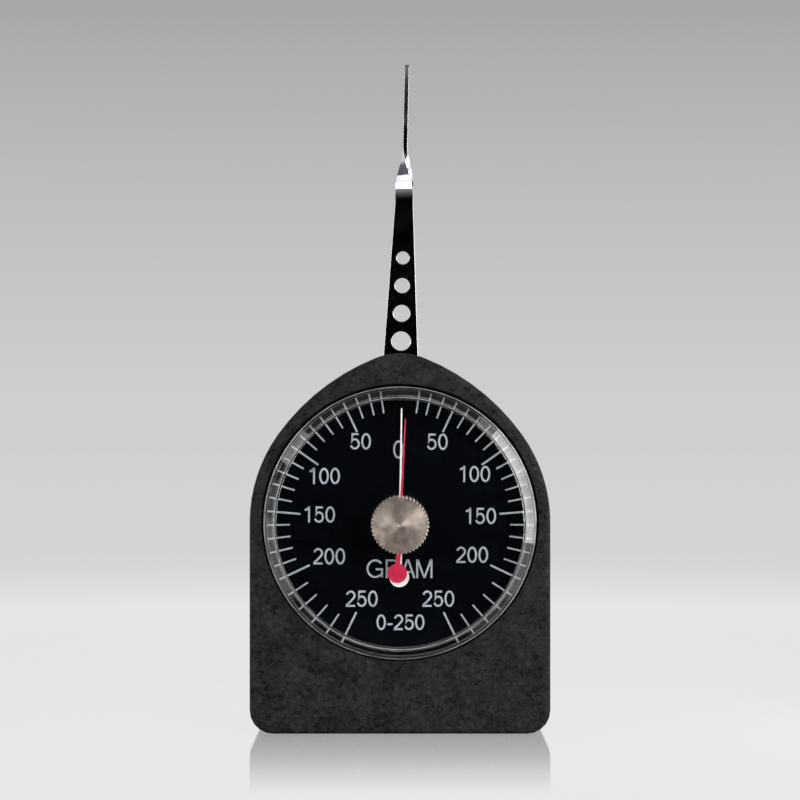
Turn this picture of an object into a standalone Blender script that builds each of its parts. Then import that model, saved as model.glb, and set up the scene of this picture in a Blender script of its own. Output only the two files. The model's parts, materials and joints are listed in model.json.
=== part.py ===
"""Lever-type dial force gauge, at real size in metres, with +Z up and the dial towards -Y.

A pierced and twisted lever arm swings in a slot at the top of a cast case. The lever arbor
carries a toothed sector, which turns the pinion on the pointer arbor ten times as far. A leaf
spring holds the lever upright. The white pointer pushes the red one round by a drag pin, and
the knob in front of the crystal sets the red one back.

The origin is the middle of the case's base. Depths are measured from the case's front face
towards the back.
"""

import math

import bmesh
import bpy
from mathutils import Vector

# Fits shared by all pieces
SEAT_GAP = 0.0002
FINE_GAP = 0.0001
RUNNING_GAP = 0.00008
CUT_OVERRUN = 0.0010
MERGE_DISTANCE = 0.000001

# Facets of large, middle and small rounds, and the sharpest edge that is shaded smooth
LARGE_SIDES = 64
MIDDLE_SIDES = 24
SMALL_SIDES = 12
HEXAGON_SIDES = 6
SMOOTH_EDGE_DEG = 32.0

# Case: a round-shouldered housing about the dial's window
WINDOW_RADIUS = 0.0286
RIM_WIDTH = 0.0024
DIAL_HEIGHT = 0.0436
SHOULDER_RADIUS = 0.0458
SHOULDER_START_DEG = 54.3
SHOULDER_END_DEG = 21.8
BASE_CORNER_RADIUS = 0.0048
CASE_EDGE_RADIUS = 0.0010
SHELL_DEPTH = 0.0180
CASE_WALL = 0.0018
WINDOW_DEPTH = 0.0022
LEDGE_WIDTH = 0.0018
LEDGE_THICKNESS = 0.0012
COVER_THICKNESS = 0.0020
SIDE_ARC_STEPS = 8
SHOULDER_ARC_STEPS = 7
CROWN_ARC_STEPS = 8
CORNER_ARC_STEPS = 5
CASE_EDGE_STEPS = 3

# Rear cover screws and the bosses that take them
BOSS_RADIUS = 0.0024
BOSS_BASE_OFFSET = 0.0038
BOSS_SHOULDER_DEG = 40.0
COVER_SCREW_RADIUS = 0.0010
COVER_SCREW_HEAD_RADIUS = 0.0019
COVER_SCREW_HEAD_HEIGHT = 0.0010
COVER_SCREW_LENGTH = 0.0070
SCREW_SLOT_WIDTH = 0.0005
SCREW_SLOT_DEPTH = 0.0004

# Dial and crystal
DIAL_THICKNESS = 0.0008
DIAL_EDGE_GAP = 0.0003
DIAL_HOLE_RADIUS = 0.0020
GASKET_THICKNESS = 0.0004
CRYSTAL_EDGE_GAP = 0.0006
CRYSTAL_TAPER = 0.0022
CRYSTAL_TAPER_DEPTH = 0.0022
CRYSTAL_INNER_TAPER = 0.00165
CRYSTAL_WALL = 0.0010
CRYSTAL_FACE = 0.0012
CRYSTAL_EDGE_RADIUS = 0.0005
CRYSTAL_EDGE_STEPS = 1

# Pointers, knob and the parts on the knob's spindle
POINTER_THICKNESS = 0.0003
POINTER_HUB_CLEARANCE = 0.0005
POINTER_HUB_RADIUS = 0.0050
POINTER_HUB_THICKNESS = 0.0005
POINTER_BOSS_RADIUS = 0.0020
POINTER_TIP_LIFT = 0.00015
POINTER_STACK_GAP = 0.00030
MAIN_POINTER_LENGTH = 0.0235
MAIN_POINTER_BASE_WIDTH = 0.00066
MAIN_POINTER_TIP_WIDTH = 0.00040
MAIN_TAIL_REACH = 0.0112
MAIN_TAIL_RADIUS = 0.00205
MAIN_TAIL_NECK = 0.0010
MAIN_POINTER_REST_DEG = 0.8
PEAK_POINTER_LENGTH = 0.0214
PEAK_POINTER_BASE_WIDTH = 0.00080
PEAK_POINTER_TIP_WIDTH = 0.00030
PEAK_TAIL_REACH = 0.0103
PEAK_TAIL_RADIUS = 0.0020
PEAK_TAIL_NECK = 0.0010
PEAK_POINTER_REST_DEG = 3.0
PEAK_BOSS_RADIUS = 0.0017
PEAK_BOSS_LENGTH = 0.0007
DRAG_PIN_RADIUS = 0.0003
DRAG_PIN_REACH = 0.0043
DRAG_DOG_THICKNESS = 0.0003
DRAG_DOG_OVERREACH = 0.0004
SPINDLE_RADIUS = 0.0010
SPINDLE_HEAD_RADIUS = 0.0016
SPINDLE_HEAD_THICKNESS = 0.0003
BUSH_WALL = 0.0009
BUSH_FLANGE_RADIUS = 0.0036
BUSH_FLANGE_THICKNESS = 0.0006
BUSH_NUT_RADIUS = 0.0036
BUSH_NUT_THICKNESS = 0.0006
BUSH_END_REACH = 0.0002
FRICTION_WASHER_RADIUS = 0.0032
FRICTION_WASHER_THICKNESS = 0.0003
KNOB_RADIUS = 0.0059
KNOB_THICKNESS = 0.0048
KNOB_CHAMFER = 0.00045
KNOB_CONE_HEIGHT = 0.00035
KNOB_POINT_RADIUS = 0.0004
KNOB_POINT_DEPTH = 0.0002
KNOB_BORE_DEPTH = 0.0034
KNURL_DEPTH = 0.00030
KNURL_COUNT = 44

# Movement frame: a front plate, a bridge behind it and four pillars between them
PLATE_THICKNESS = 0.0012
PLATE_EDGE_GAP = 0.0004
PLATE_SCREW_RADIUS = 0.0005
PLATE_SCREW_HEAD_RADIUS = 0.0010
PLATE_SCREW_HEAD_HEIGHT = 0.0008
PLATE_SCREW_LENGTH = 0.0030
PLATE_SCREW_CROWN_DEG = 11.0
PLATE_SCREW_WALL = 0.0003
PLATE_SCREW_BASE_OFFSET = 0.0150
BRIDGE_REAR_CLEARANCE = 0.0014
BRIDGE_THICKNESS = 0.0012
BRIDGE_CORNER_RADIUS = 0.0030
PILLAR_RADIUS = 0.0017
UPPER_PILLAR_SPREAD = 0.0095
UPPER_PILLAR_BELOW_PIVOT = 0.0020
LOWER_PILLAR_SPREAD = 0.0130
LOWER_PILLAR_DROP = 0.0080
PILLAR_TENON_RADIUS = 0.0009
PILLAR_TENON_LENGTH = 0.0009
BRIDGE_SCREW_RADIUS = 0.0006
BRIDGE_SCREW_HEAD_RADIUS = 0.0014
BRIDGE_SCREW_HEAD_HEIGHT = 0.0008
BRIDGE_SCREW_LENGTH = 0.0030

# Gear train: the pivot's place under the crown settles the centre distance
PIVOT_BELOW_CROWN = 0.00735
PINION_TEETH = 10
SECTOR_WHEEL_TEETH = 100
SECTOR_TEETH = 12
PRESSURE_ANGLE_DEG = 20.0
PINION_ADDENDUM_SHARE = 0.80
SECTOR_ADDENDUM_SHARE = 0.55
DEDENDUM_SHARE = 1.10
BACKLASH_SHARE = 0.14
FLANK_STEPS = 2
PINION_WIDTH = 0.0022
SECTOR_THICKNESS = 0.0012
SECTOR_RIM_WIDTH = 0.0030
SECTOR_HEAD_RADIUS = 0.0046
SECTOR_SPOKE_WIDTH = 0.0016
SECTOR_WINDOW_INNER_RADIUS = 0.0095
SECTOR_SIDE_MARGIN_DEG = 0.9
LEVER_LIMIT_DEG = 15.6

# Arbors and their bushes
LEVER_ARBOR_RADIUS = 0.0010
LEVER_PIVOT_RADIUS = 0.0007
POINTER_ARBOR_RADIUS = 0.0011
POINTER_STEM_RADIUS = 0.0008
POINTER_PIVOT_RADIUS = 0.0006
ARBOR_BUSH_RADIUS = 0.0017
ARBOR_BUSH_FLANGE_RADIUS = 0.0025
ARBOR_BUSH_FLANGE_THICKNESS = 0.0005
ARBOR_END_FLOAT = 0.0002

# Lever arm: a pierced blade whose upper end is twisted a quarter turn
ARM_REACH = 0.0680
ARM_THICKNESS = 0.0009
ARM_ROOT_WIDTH = 0.0080
ARM_NECK_WIDTH = 0.0038
ARM_TIP_WIDTH = 0.0029
ARM_TWIST_START = 0.0388
ARM_TWIST_LENGTH = 0.0124
ARM_TWIST_DEG = -90.0
ARM_TWIST_STEPS = 12
ARM_TAIL_STEPS = 6
ARM_TIP_CHAMFER = 0.0004
ARM_EDGE_WIDTH = 0.00032
ARM_EDGE_DEPTH = 0.00028
ARM_TIP_EDGE_SHARE = 0.7
ARM_REST_DEG = 1.25
ARM_HOLE_DIAMETERS = (0.0040, 0.0035, 0.0031, 0.00265)
ARM_FIRST_HOLE_REACH = 0.0101
ARM_HOLE_PITCH = 0.00582
SLOT_SIDE_CLEARANCE = 0.0007
SLOT_FACE_CLEARANCE = 0.0012

# Lever hub with its two rivets, and the leaf spring that it grips
LEVER_HUB_FLANGE_RADIUS = 0.0037
LEVER_HUB_FLANGE_THICKNESS = 0.0010
LEVER_HUB_RADIUS = 0.0020
RIVET_RADIUS = 0.0004
RIVET_HEAD_RADIUS = 0.0007
RIVET_HEAD_HEIGHT = 0.0004
RIVET_REACH = 0.0029
SECTOR_HUB_RADIUS = 0.0018
SECTOR_HUB_FLANGE_RADIUS = 0.0038
SECTOR_HUB_FLANGE_THICKNESS = 0.0006
SPRING_THICKNESS = 0.0003
SPRING_SEAT_DEPTH = 0.0006
ANCHOR_WIDTH = 0.0052
ANCHOR_HEIGHT = 0.0034
ANCHOR_LIP = 0.0006
ANCHOR_CLEARANCE = 0.0009
ANCHOR_SCREW_RADIUS = 0.0004
ANCHOR_SCREW_HEAD_RADIUS = 0.0008
ANCHOR_SCREW_HEAD_HEIGHT = 0.0006
ANCHOR_SCREW_LENGTH = 0.0026
ANCHOR_SCREW_SPREAD = 0.0014
STOP_PIN_RADIUS = 0.0007
STOP_PIN_REACH = 0.0185
STOP_PIN_GAP = 0.0001

# Hairspring that takes up the play in the gears
HAIRSPRING_TURNS = 4
HAIRSPRING_STEPS = 20
HAIRSPRING_THICKNESS = 0.00016
HAIRSPRING_WIDTH = 0.0007
HAIRSPRING_PITCH = 0.0008
COLLET_RADIUS = 0.0018
COLLET_LENGTH = 0.0014
COLLET_BEHIND_PINION = 0.0014
STUD_RADIUS = 0.0006

# Places worked out from the sizes above
CASE_HALF_WIDTH = WINDOW_RADIUS + RIM_WIDTH
CASE_DEPTH = SHELL_DEPTH + SEAT_GAP + COVER_THICKNESS
FRONT_WALL = WINDOW_DEPTH + LEDGE_THICKNESS

SHOULDER_START = math.radians(SHOULDER_START_DEG)
SHOULDER_END = math.radians(SHOULDER_END_DEG)
CROWN_RADIUS = SHOULDER_RADIUS - (SHOULDER_RADIUS - CASE_HALF_WIDTH) * math.sin(
    SHOULDER_START
) / math.sin(SHOULDER_END)
SHOULDER_CENTRE = Vector((math.sin(SHOULDER_START), math.cos(SHOULDER_START))) * (
    CASE_HALF_WIDTH - SHOULDER_RADIUS
)
CROWN_CENTRE = SHOULDER_CENTRE + Vector(
    (math.sin(SHOULDER_END), math.cos(SHOULDER_END))
) * (SHOULDER_RADIUS - CROWN_RADIUS)
CROWN_RISE = CROWN_CENTRE.y + CROWN_RADIUS

CENTRE_DISTANCE = CROWN_RISE - PIVOT_BELOW_CROWN
PIVOT_HEIGHT = DIAL_HEIGHT + CENTRE_DISTANCE
GEAR_MODULE = 2 * CENTRE_DISTANCE / (PINION_TEETH + SECTOR_WHEEL_TEETH)
SECTOR_HALF_ANGLE = math.pi * SECTOR_TEETH / SECTOR_WHEEL_TEETH + math.radians(
    SECTOR_SIDE_MARGIN_DEG
)
LEVER_LIMIT = math.radians(LEVER_LIMIT_DEG)

# Depths in front of the movement, from the dial forwards
DIAL_BACK = WINDOW_DEPTH - SEAT_GAP
DIAL_FRONT = DIAL_BACK - DIAL_THICKNESS
GASKET_BACK = DIAL_FRONT - FINE_GAP
GASKET_FRONT = GASKET_BACK - GASKET_THICKNESS
CRYSTAL_BACK = GASKET_FRONT - FINE_GAP
HUB_BACK = DIAL_FRONT - POINTER_HUB_CLEARANCE
HUB_FRONT = HUB_BACK - POINTER_HUB_THICKNESS
MAIN_POINTER_BACK = HUB_FRONT - FINE_GAP
MAIN_POINTER_FRONT = MAIN_POINTER_BACK - POINTER_THICKNESS
POINTER_ARBOR_FRONT = MAIN_POINTER_FRONT - POINTER_TIP_LIFT
SPINDLE_BACK = POINTER_ARBOR_FRONT - POINTER_STACK_GAP
DOG_BACK = SPINDLE_BACK - SPINDLE_HEAD_THICKNESS - FINE_GAP
DOG_FRONT = DOG_BACK - DRAG_DOG_THICKNESS
PEAK_BOSS_BACK = DOG_FRONT - FINE_GAP
PEAK_BOSS_FRONT = PEAK_BOSS_BACK - PEAK_BOSS_LENGTH
PEAK_POINTER_FRONT = PEAK_BOSS_BACK - (PEAK_BOSS_LENGTH + POINTER_THICKNESS) / 2
PEAK_POINTER_BACK = PEAK_POINTER_FRONT + POINTER_THICKNESS
BUSH_BACK = PEAK_BOSS_FRONT - FINE_GAP
NUT_BACK = BUSH_BACK - BUSH_END_REACH
NUT_FRONT = NUT_BACK - BUSH_NUT_THICKNESS
CRYSTAL_INNER = NUT_FRONT - FINE_GAP
CRYSTAL_FRONT = CRYSTAL_INNER - CRYSTAL_FACE
FLANGE_BACK = CRYSTAL_FRONT - FINE_GAP
FLANGE_FRONT = FLANGE_BACK - BUSH_FLANGE_THICKNESS
WASHER_BACK = FLANGE_FRONT - FINE_GAP
WASHER_FRONT = WASHER_BACK - FRICTION_WASHER_THICKNESS
KNOB_BACK = WASHER_FRONT - FINE_GAP
KNOB_FRONT = KNOB_BACK - KNOB_THICKNESS

# Depths of the movement, from the front wall backwards
PLATE_FRONT = FRONT_WALL + SEAT_GAP
PLATE_BACK = PLATE_FRONT + PLATE_THICKNESS
PILLAR_FRONT = PLATE_BACK + FINE_GAP
BRIDGE_BACK = SHELL_DEPTH - BRIDGE_REAR_CLEARANCE
BRIDGE_FRONT = BRIDGE_BACK - BRIDGE_THICKNESS
PILLAR_BACK = BRIDGE_FRONT - FINE_GAP
FRONT_BUSH_BACK = PLATE_BACK + FINE_GAP + ARBOR_BUSH_FLANGE_THICKNESS
REAR_BUSH_FRONT = BRIDGE_FRONT - FINE_GAP - ARBOR_BUSH_FLANGE_THICKNESS
ARBOR_SHOULDER_FRONT = FRONT_BUSH_BACK + ARBOR_END_FLOAT
ARBOR_SHOULDER_BACK = REAR_BUSH_FRONT - ARBOR_END_FLOAT
ARM_PLANE_DEPTH = CASE_DEPTH / 2
ARM_FRONT = ARM_PLANE_DEPTH - ARM_THICKNESS / 2
ARM_BACK = ARM_PLANE_DEPTH + ARM_THICKNESS / 2
SECTOR_FLANGE_BACK = ARM_FRONT - FINE_GAP
SECTOR_FLANGE_FRONT = SECTOR_FLANGE_BACK - SECTOR_HUB_FLANGE_THICKNESS
SECTOR_BACK = SECTOR_FLANGE_FRONT - FINE_GAP
SECTOR_FRONT = SECTOR_BACK - SECTOR_THICKNESS
SECTOR_MIDDLE = (SECTOR_FRONT + SECTOR_BACK) / 2
HUB_FLANGE_FRONT = ARM_BACK + FINE_GAP
HUB_FLANGE_BACK = HUB_FLANGE_FRONT + LEVER_HUB_FLANGE_THICKNESS
LEVER_HUB_BACK = ARBOR_SHOULDER_BACK - ARBOR_END_FLOAT
SPRING_FRONT = HUB_FLANGE_BACK + FINE_GAP
SPRING_BACK = LEVER_HUB_BACK - FINE_GAP
PINION_FRONT = SECTOR_MIDDLE - PINION_WIDTH / 2
PINION_BACK = SECTOR_MIDDLE + PINION_WIDTH / 2
COLLET_FRONT = PINION_BACK + COLLET_BEHIND_PINION
COLLET_BACK = COLLET_FRONT + COLLET_LENGTH
HAIRSPRING_MIDDLE = (COLLET_FRONT + COLLET_BACK) / 2
HAIRSPRING_INNER_RADIUS = COLLET_RADIUS + HAIRSPRING_THICKNESS / 2 + FINE_GAP
HAIRSPRING_OUTER_RADIUS = HAIRSPRING_INNER_RADIUS + HAIRSPRING_TURNS * HAIRSPRING_PITCH


def world_depth(depth):
    """World Y of a depth measured from the case's front face."""
    return depth - CASE_DEPTH / 2


def circle_point(radius, angle):
    """Point at an angle measured clockwise from straight up, seen from the front."""
    return (radius * math.sin(angle), radius * math.cos(angle))


def arc(centre, radius, start, end, steps):
    """Points of an arc, with its angles measured clockwise from straight up."""
    points = []
    for step in range(steps + 1):
        x, z = circle_point(radius, start + (end - start) * step / steps)
        points.append((centre[0] + x, centre[1] + z))
    return points


def circle(radius, sides, centre=(0, 0)):
    """Points of a whole circle with one side straight up, clockwise seen from the front."""
    start = math.pi / sides
    return arc(centre, radius, start, start + 2 * math.pi, sides)[:-1]


def case_outline(inset):
    """Outline of the case, moved inwards by an inset, about the dial's centre."""
    half_width = CASE_HALF_WIDTH - inset
    corner_radius = max(BASE_CORNER_RADIUS - inset, FINE_GAP)
    corner_x = half_width - corner_radius
    corner_z = inset + corner_radius - DIAL_HEIGHT
    crown = arc(
        CROWN_CENTRE, CROWN_RADIUS - inset, 0, SHOULDER_END, CROWN_ARC_STEPS // 2
    )
    shoulder = arc(
        SHOULDER_CENTRE,
        SHOULDER_RADIUS - inset,
        SHOULDER_END,
        SHOULDER_START,
        SHOULDER_ARC_STEPS,
    )
    side = arc((0, 0), half_width, SHOULDER_START, math.pi / 2, SIDE_ARC_STEPS)
    corner = arc(
        (corner_x, corner_z), corner_radius, math.pi / 2, math.pi, CORNER_ARC_STEPS
    )
    right = crown + shoulder[1:] + side[1:] + corner
    left = [(-x, z) for x, z in reversed(right[1:])]
    return right + left


# Materials


def make_material(name, colour, roughness, metallic, transmission=0.0):
    """A Principled material with one plain colour."""
    material = bpy.data.materials.new(name)
    material.use_nodes = True
    shader = material.node_tree.nodes["Principled BSDF"]
    shader.inputs["Base Color"].default_value = (*colour, 1)
    shader.inputs["Roughness"].default_value = roughness
    shader.inputs["Metallic"].default_value = metallic
    shader.inputs["Transmission Weight"].default_value = transmission
    return material


def textured_case_paint():
    """Charcoal wrinkle paint on the castings."""
    return make_material("textured_case_paint", (0.022, 0.022, 0.022), 0.7, 0.0)


def black_dial_enamel():
    """Black dial face with a faint blue cast."""
    return make_material("black_dial_enamel", (0.002, 0.002, 0.004), 0.35, 0.0)


def clear_acrylic():
    """Clear moulded crystal."""
    return make_material("clear_acrylic", (0.9, 0.9, 0.9), 0.05, 0.0, 1.0)


def polished_steel():
    """Bright steel of the lever arm."""
    return make_material("polished_steel", (0.75, 0.75, 0.76), 0.08, 1.0)


def turned_steel():
    """Plain steel of arbors, screws, pins and springs."""
    return make_material("turned_steel", (0.45, 0.45, 0.46), 0.3, 1.0)


def brushed_nickel():
    """Warm grey nickel on the knob."""
    return make_material("brushed_nickel", (0.42, 0.37, 0.32), 0.3, 1.0)


def turned_brass():
    """Brass of plates, bushes, hubs and gears."""
    return make_material("turned_brass", (0.60, 0.42, 0.16), 0.3, 1.0)


def white_lacquer():
    """White lacquer on the main pointer."""
    return make_material("white_lacquer", (0.85, 0.85, 0.83), 0.4, 0.0)


def crimson_lacquer():
    """Crimson lacquer on the peak pointer."""
    return make_material("crimson_lacquer", (0.62, 0.016, 0.075), 0.4, 0.0)


def black_rubber():
    """Rubber of the crystal's gasket."""
    return make_material("black_rubber", (0.02, 0.02, 0.02), 0.8, 0.0)


# Meshes


def add_loft(mesh, loops):
    """Skin a row of loops that have equal counts of points, and cap both ends."""
    rings = [[mesh.verts.new(point) for point in loop] for loop in loops]
    for ring, following in zip(rings, rings[1:]):
        count = len(ring)
        for index in range(count):
            beside = (index + 1) % count
            mesh.faces.new(
                (ring[index], ring[beside], following[beside], following[index])
            )
    mesh.faces.new(rings[0])
    mesh.faces.new(rings[-1])


def add_turned(mesh, profile, sides):
    """Spin (radius, depth) points about the Y axis; ends on the axis close the shape."""
    across, up = circle_point(1, math.pi / sides)
    ring = [
        mesh.verts.new((radius * across, world_depth(depth), radius * up))
        for radius, depth in profile
    ]
    edges = [mesh.edges.new(pair) for pair in zip(ring, ring[1:])]
    if profile[0][0] > 0:
        edges.append(mesh.edges.new((ring[-1], ring[0])))
    bmesh.ops.spin(
        mesh,
        geom=ring + edges,
        cent=(0, 0, 0),
        axis=(0, 1, 0),
        angle=2 * math.pi,
        steps=sides,
        use_merge=True,
    )
    bmesh.ops.remove_doubles(mesh, verts=mesh.verts, dist=MERGE_DISTANCE)


def add_plate(mesh, outline, front, back):
    """Extrude an outline of (x, z) points between two depths."""
    loops = []
    for depth in (front, back):
        loops.append([(x, world_depth(depth), z) for x, z in outline])
    add_loft(mesh, loops)


def make_object(name, mesh, material, parent, place=(0, 0), turn_deg=0, round_edges=True):
    """Turn a bmesh into a named object on its parent's axis."""
    bmesh.ops.recalc_face_normals(mesh, faces=mesh.faces)
    data = bpy.data.meshes.new(name)
    mesh.to_mesh(data)
    mesh.free()
    if round_edges:
        data.shade_smooth()
        data.set_sharp_from_angle(angle=math.radians(SMOOTH_EDGE_DEG))
    data.materials.append(material)
    made = bpy.data.objects.new(name, data)
    bpy.context.scene.collection.objects.link(made)
    made.parent = parent
    made.location = (place[0], 0, place[1])
    made.rotation_euler.y = math.radians(turn_deg)
    return made


def turned_piece(name, profile, sides, material, parent, place=(0, 0), turn_deg=0):
    """A round piece turned from a profile."""
    mesh = bmesh.new()
    add_turned(mesh, profile, sides)
    return make_object(name, mesh, material, parent, place, turn_deg)


def plate_piece(name, outline, front, back, material, parent, place=(0, 0), turn_deg=0):
    """A flat piece cut to an outline."""
    mesh = bmesh.new()
    add_plate(mesh, outline, front, back)
    return make_object(name, mesh, material, parent, place, turn_deg)


def make_helper(helper):
    """Keep a cutter or an added shape out of the finished part."""
    helper.hide_render = True
    helper.display_type = "WIRE"
    return helper


def combine(target, helper, operation):
    """Join a helper to a piece, or cut it out, with an exact Boolean."""
    make_helper(helper)
    boolean = target.modifiers.new(operation.lower() + "_" + helper.name, "BOOLEAN")
    boolean.solver = "EXACT"
    boolean.operation = operation
    boolean.object = helper


def drill(target, place, radius, front, back, sides=SMALL_SIDES):
    """Cut a round hole through a piece between two depths, at a place on its axis."""
    mesh = bmesh.new()
    add_plate(mesh, circle(radius, sides, place), front, back)
    material = target.data.materials[0]
    cutter = make_object(target.name + "_drill", mesh, material, target.parent)
    cutter.location = target.location
    cutter.rotation_euler = target.rotation_euler
    combine(target, cutter, "DIFFERENCE")


def cut_box(target, centre, size):
    """Cut a box, given in the piece's own frame, out of a piece."""
    mesh = bmesh.new()
    bmesh.ops.create_cube(mesh, size=1)
    bmesh.ops.scale(mesh, vec=size, verts=mesh.verts)
    bmesh.ops.translate(mesh, vec=centre, verts=mesh.verts)
    material = target.data.materials[0]
    cutter = make_object(target.name + "_box", mesh, material, target.parent)
    cutter.location = target.location
    cutter.rotation_euler = target.rotation_euler
    combine(target, cutter, "DIFFERENCE")


def tube_profile(outer, bore, front, back):
    """Profile of a plain ring or sleeve."""
    return [(bore, front), (outer, front), (outer, back), (bore, back)]


def pan_screw(name, place, head_radius, head_height, radius, face, length, material, parent):
    """A flat-headed screw whose head lies behind a face and whose shank runs forwards."""
    seat = face + FINE_GAP
    profile = [
        (0, seat - length),
        (radius, seat - length),
        (radius, seat),
        (head_radius, seat),
        (head_radius, seat + head_height),
        (0, seat + head_height),
    ]
    return turned_piece(name, profile, SMALL_SIDES, material, parent, place)


# Case


def boss_places():
    """Centres of the four bosses, about the dial's centre."""
    base_x = CASE_HALF_WIDTH - BOSS_BASE_OFFSET
    base_z = BOSS_BASE_OFFSET - DIAL_HEIGHT
    angle = math.radians(BOSS_SHOULDER_DEG)
    reach = CASE_HALF_WIDTH - CASE_WALL - BOSS_RADIUS / 2
    shoulder_x, shoulder_z = circle_point(reach, angle)
    return [
        (-base_x, base_z),
        (base_x, base_z),
        (-shoulder_x, shoulder_z),
        (shoulder_x, shoulder_z),
    ]


def plate_screw_places():
    """Centres of the screws that hold the movement, about the dial's centre."""
    reach = WINDOW_RADIUS + PLATE_SCREW_WALL + PLATE_SCREW_RADIUS + FINE_GAP
    crown_x, crown_z = circle_point(reach, math.radians(PLATE_SCREW_CROWN_DEG))
    base_x = CASE_HALF_WIDTH - PLATE_SCREW_BASE_OFFSET
    base_z = BOSS_BASE_OFFSET - DIAL_HEIGHT
    return [(-crown_x, crown_z), (crown_x, crown_z), (-base_x, base_z), (base_x, base_z)]


def slot_half_width():
    """Half the width that the swinging arm needs where it leaves the case."""
    swing = LEVER_LIMIT + math.radians(ARM_REST_DEG)
    return (
        PIVOT_BELOW_CROWN * math.sin(swing)
        + ARM_ROOT_WIDTH / 2 * math.cos(swing)
        + SLOT_SIDE_CLEARANCE
    )


def case_edge_loops(front, back, round_front):
    """Loops of the case's outline with one rounded edge, at the front or at the back."""
    loops = []
    for step in range(CASE_EDGE_STEPS + 1):
        tilt = math.pi / 2 * (1 - step / CASE_EDGE_STEPS)
        inset = CASE_EDGE_RADIUS * (1 - math.cos(tilt))
        fall = CASE_EDGE_RADIUS * (1 - math.sin(tilt))
        depth = front + fall if round_front else back - fall
        loops.append([(x, world_depth(depth), z) for x, z in case_outline(inset)])
    flat_depth = back if round_front else front
    loops.append([(x, world_depth(flat_depth), z) for x, z in case_outline(0)])
    return loops


def make_case_shell(material, axis):
    """Cast housing: front wall with its window and ledge, side walls, bosses and arm slot."""
    mesh = bmesh.new()
    add_loft(mesh, case_edge_loops(0, SHELL_DEPTH, True))
    shell = make_object("case_shell", mesh, material, axis)
    open_back = SHELL_DEPTH + CUT_OVERRUN
    mesh = bmesh.new()
    add_plate(mesh, case_outline(CASE_WALL), FRONT_WALL, open_back)
    combine(shell, make_object("case_cavity", mesh, material, axis), "DIFFERENCE")
    for place in boss_places():
        mesh = bmesh.new()
        boss_front = FRONT_WALL - LEDGE_THICKNESS / 2
        boss = circle(BOSS_RADIUS, SMALL_SIDES, place)
        add_plate(mesh, boss, boss_front, SHELL_DEPTH - FINE_GAP)
        combine(shell, make_object("case_boss", mesh, material, axis), "UNION")
    drill(shell, (0, 0), WINDOW_RADIUS, -CUT_OVERRUN, WINDOW_DEPTH, LARGE_SIDES)
    ledge_radius = WINDOW_RADIUS - LEDGE_WIDTH
    ledge_back = FRONT_WALL + CUT_OVERRUN
    drill(shell, (0, 0), ledge_radius, -CUT_OVERRUN, ledge_back, LARGE_SIDES)
    slot_depth = ARM_THICKNESS + 2 * SLOT_FACE_CLEARANCE
    slot_bottom = CENTRE_DISTANCE
    slot_top = CROWN_RISE + CUT_OVERRUN
    cut_box(
        shell,
        (0, world_depth(ARM_PLANE_DEPTH), (slot_bottom + slot_top) / 2),
        (2 * slot_half_width(), slot_depth, slot_top - slot_bottom),
    )
    for place in boss_places():
        hole_front = cover_screw_front() - FINE_GAP
        drill(shell, place, COVER_SCREW_RADIUS + FINE_GAP, hole_front, open_back)
    for place in plate_screw_places():
        hole_front = PLATE_BACK - PLATE_SCREW_LENGTH
        drill(shell, place, PLATE_SCREW_RADIUS + FINE_GAP, hole_front, ledge_back)
    return shell


def make_rear_cover(material, axis):
    """Flat back plate with a rounded rear edge and four countersunk holes."""
    front = SHELL_DEPTH + SEAT_GAP
    mesh = bmesh.new()
    add_loft(mesh, case_edge_loops(front, CASE_DEPTH, False))
    cover = make_object("rear_cover", mesh, material, axis)
    for place in boss_places():
        profile = [
            (0, front - CUT_OVERRUN),
            (COVER_SCREW_RADIUS + FINE_GAP, front - CUT_OVERRUN),
            (COVER_SCREW_RADIUS + FINE_GAP, cover_head_front() - FINE_GAP),
            (COVER_SCREW_HEAD_RADIUS + FINE_GAP, cover_head_back() - FINE_GAP),
            (COVER_SCREW_HEAD_RADIUS + FINE_GAP, CASE_DEPTH + CUT_OVERRUN),
            (0, CASE_DEPTH + CUT_OVERRUN),
        ]
        sink = turned_piece("cover_sink", profile, SMALL_SIDES, material, axis, place)
        combine(cover, sink, "DIFFERENCE")
    return cover


def cover_head_back():
    """Depth of the cover screws' flat heads, just under the cover's face."""
    return CASE_DEPTH - FINE_GAP


def cover_head_front():
    """Depth where the cover screws' heads meet their shanks."""
    return cover_head_back() - COVER_SCREW_HEAD_HEIGHT


def cover_screw_front():
    """Depth of the cover screws' front ends."""
    return cover_head_back() - COVER_SCREW_LENGTH


def make_cover_screws(material, axis):
    """Four slotted countersunk screws."""
    for index, place in enumerate(boss_places()):
        profile = [
            (0, cover_screw_front()),
            (COVER_SCREW_RADIUS, cover_screw_front()),
            (COVER_SCREW_RADIUS, cover_head_front()),
            (COVER_SCREW_HEAD_RADIUS, cover_head_back() - SCREW_SLOT_DEPTH / 2),
            (COVER_SCREW_HEAD_RADIUS, cover_head_back()),
            (0, cover_head_back()),
        ]
        name = f"cover_screw_{index + 1}"
        screw = turned_piece(name, profile, SMALL_SIDES, material, axis, place)
        slot_length = 2 * (COVER_SCREW_HEAD_RADIUS + CUT_OVERRUN)
        cut_box(
            screw,
            (0, world_depth(cover_head_back()), 0),
            (slot_length, 2 * SCREW_SLOT_DEPTH, SCREW_SLOT_WIDTH),
        )


# Dial, crystal and what the crystal carries


def make_dial_plate(material, axis):
    """Dial disc that lies on the case's ledge."""
    profile = tube_profile(
        WINDOW_RADIUS - DIAL_EDGE_GAP, DIAL_HOLE_RADIUS, DIAL_FRONT, DIAL_BACK
    )
    return turned_piece("dial_plate", profile, LARGE_SIDES, material, axis)


def crystal_base_radius():
    """Outer radius of the crystal where it enters the window."""
    return WINDOW_RADIUS - CRYSTAL_EDGE_GAP


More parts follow.
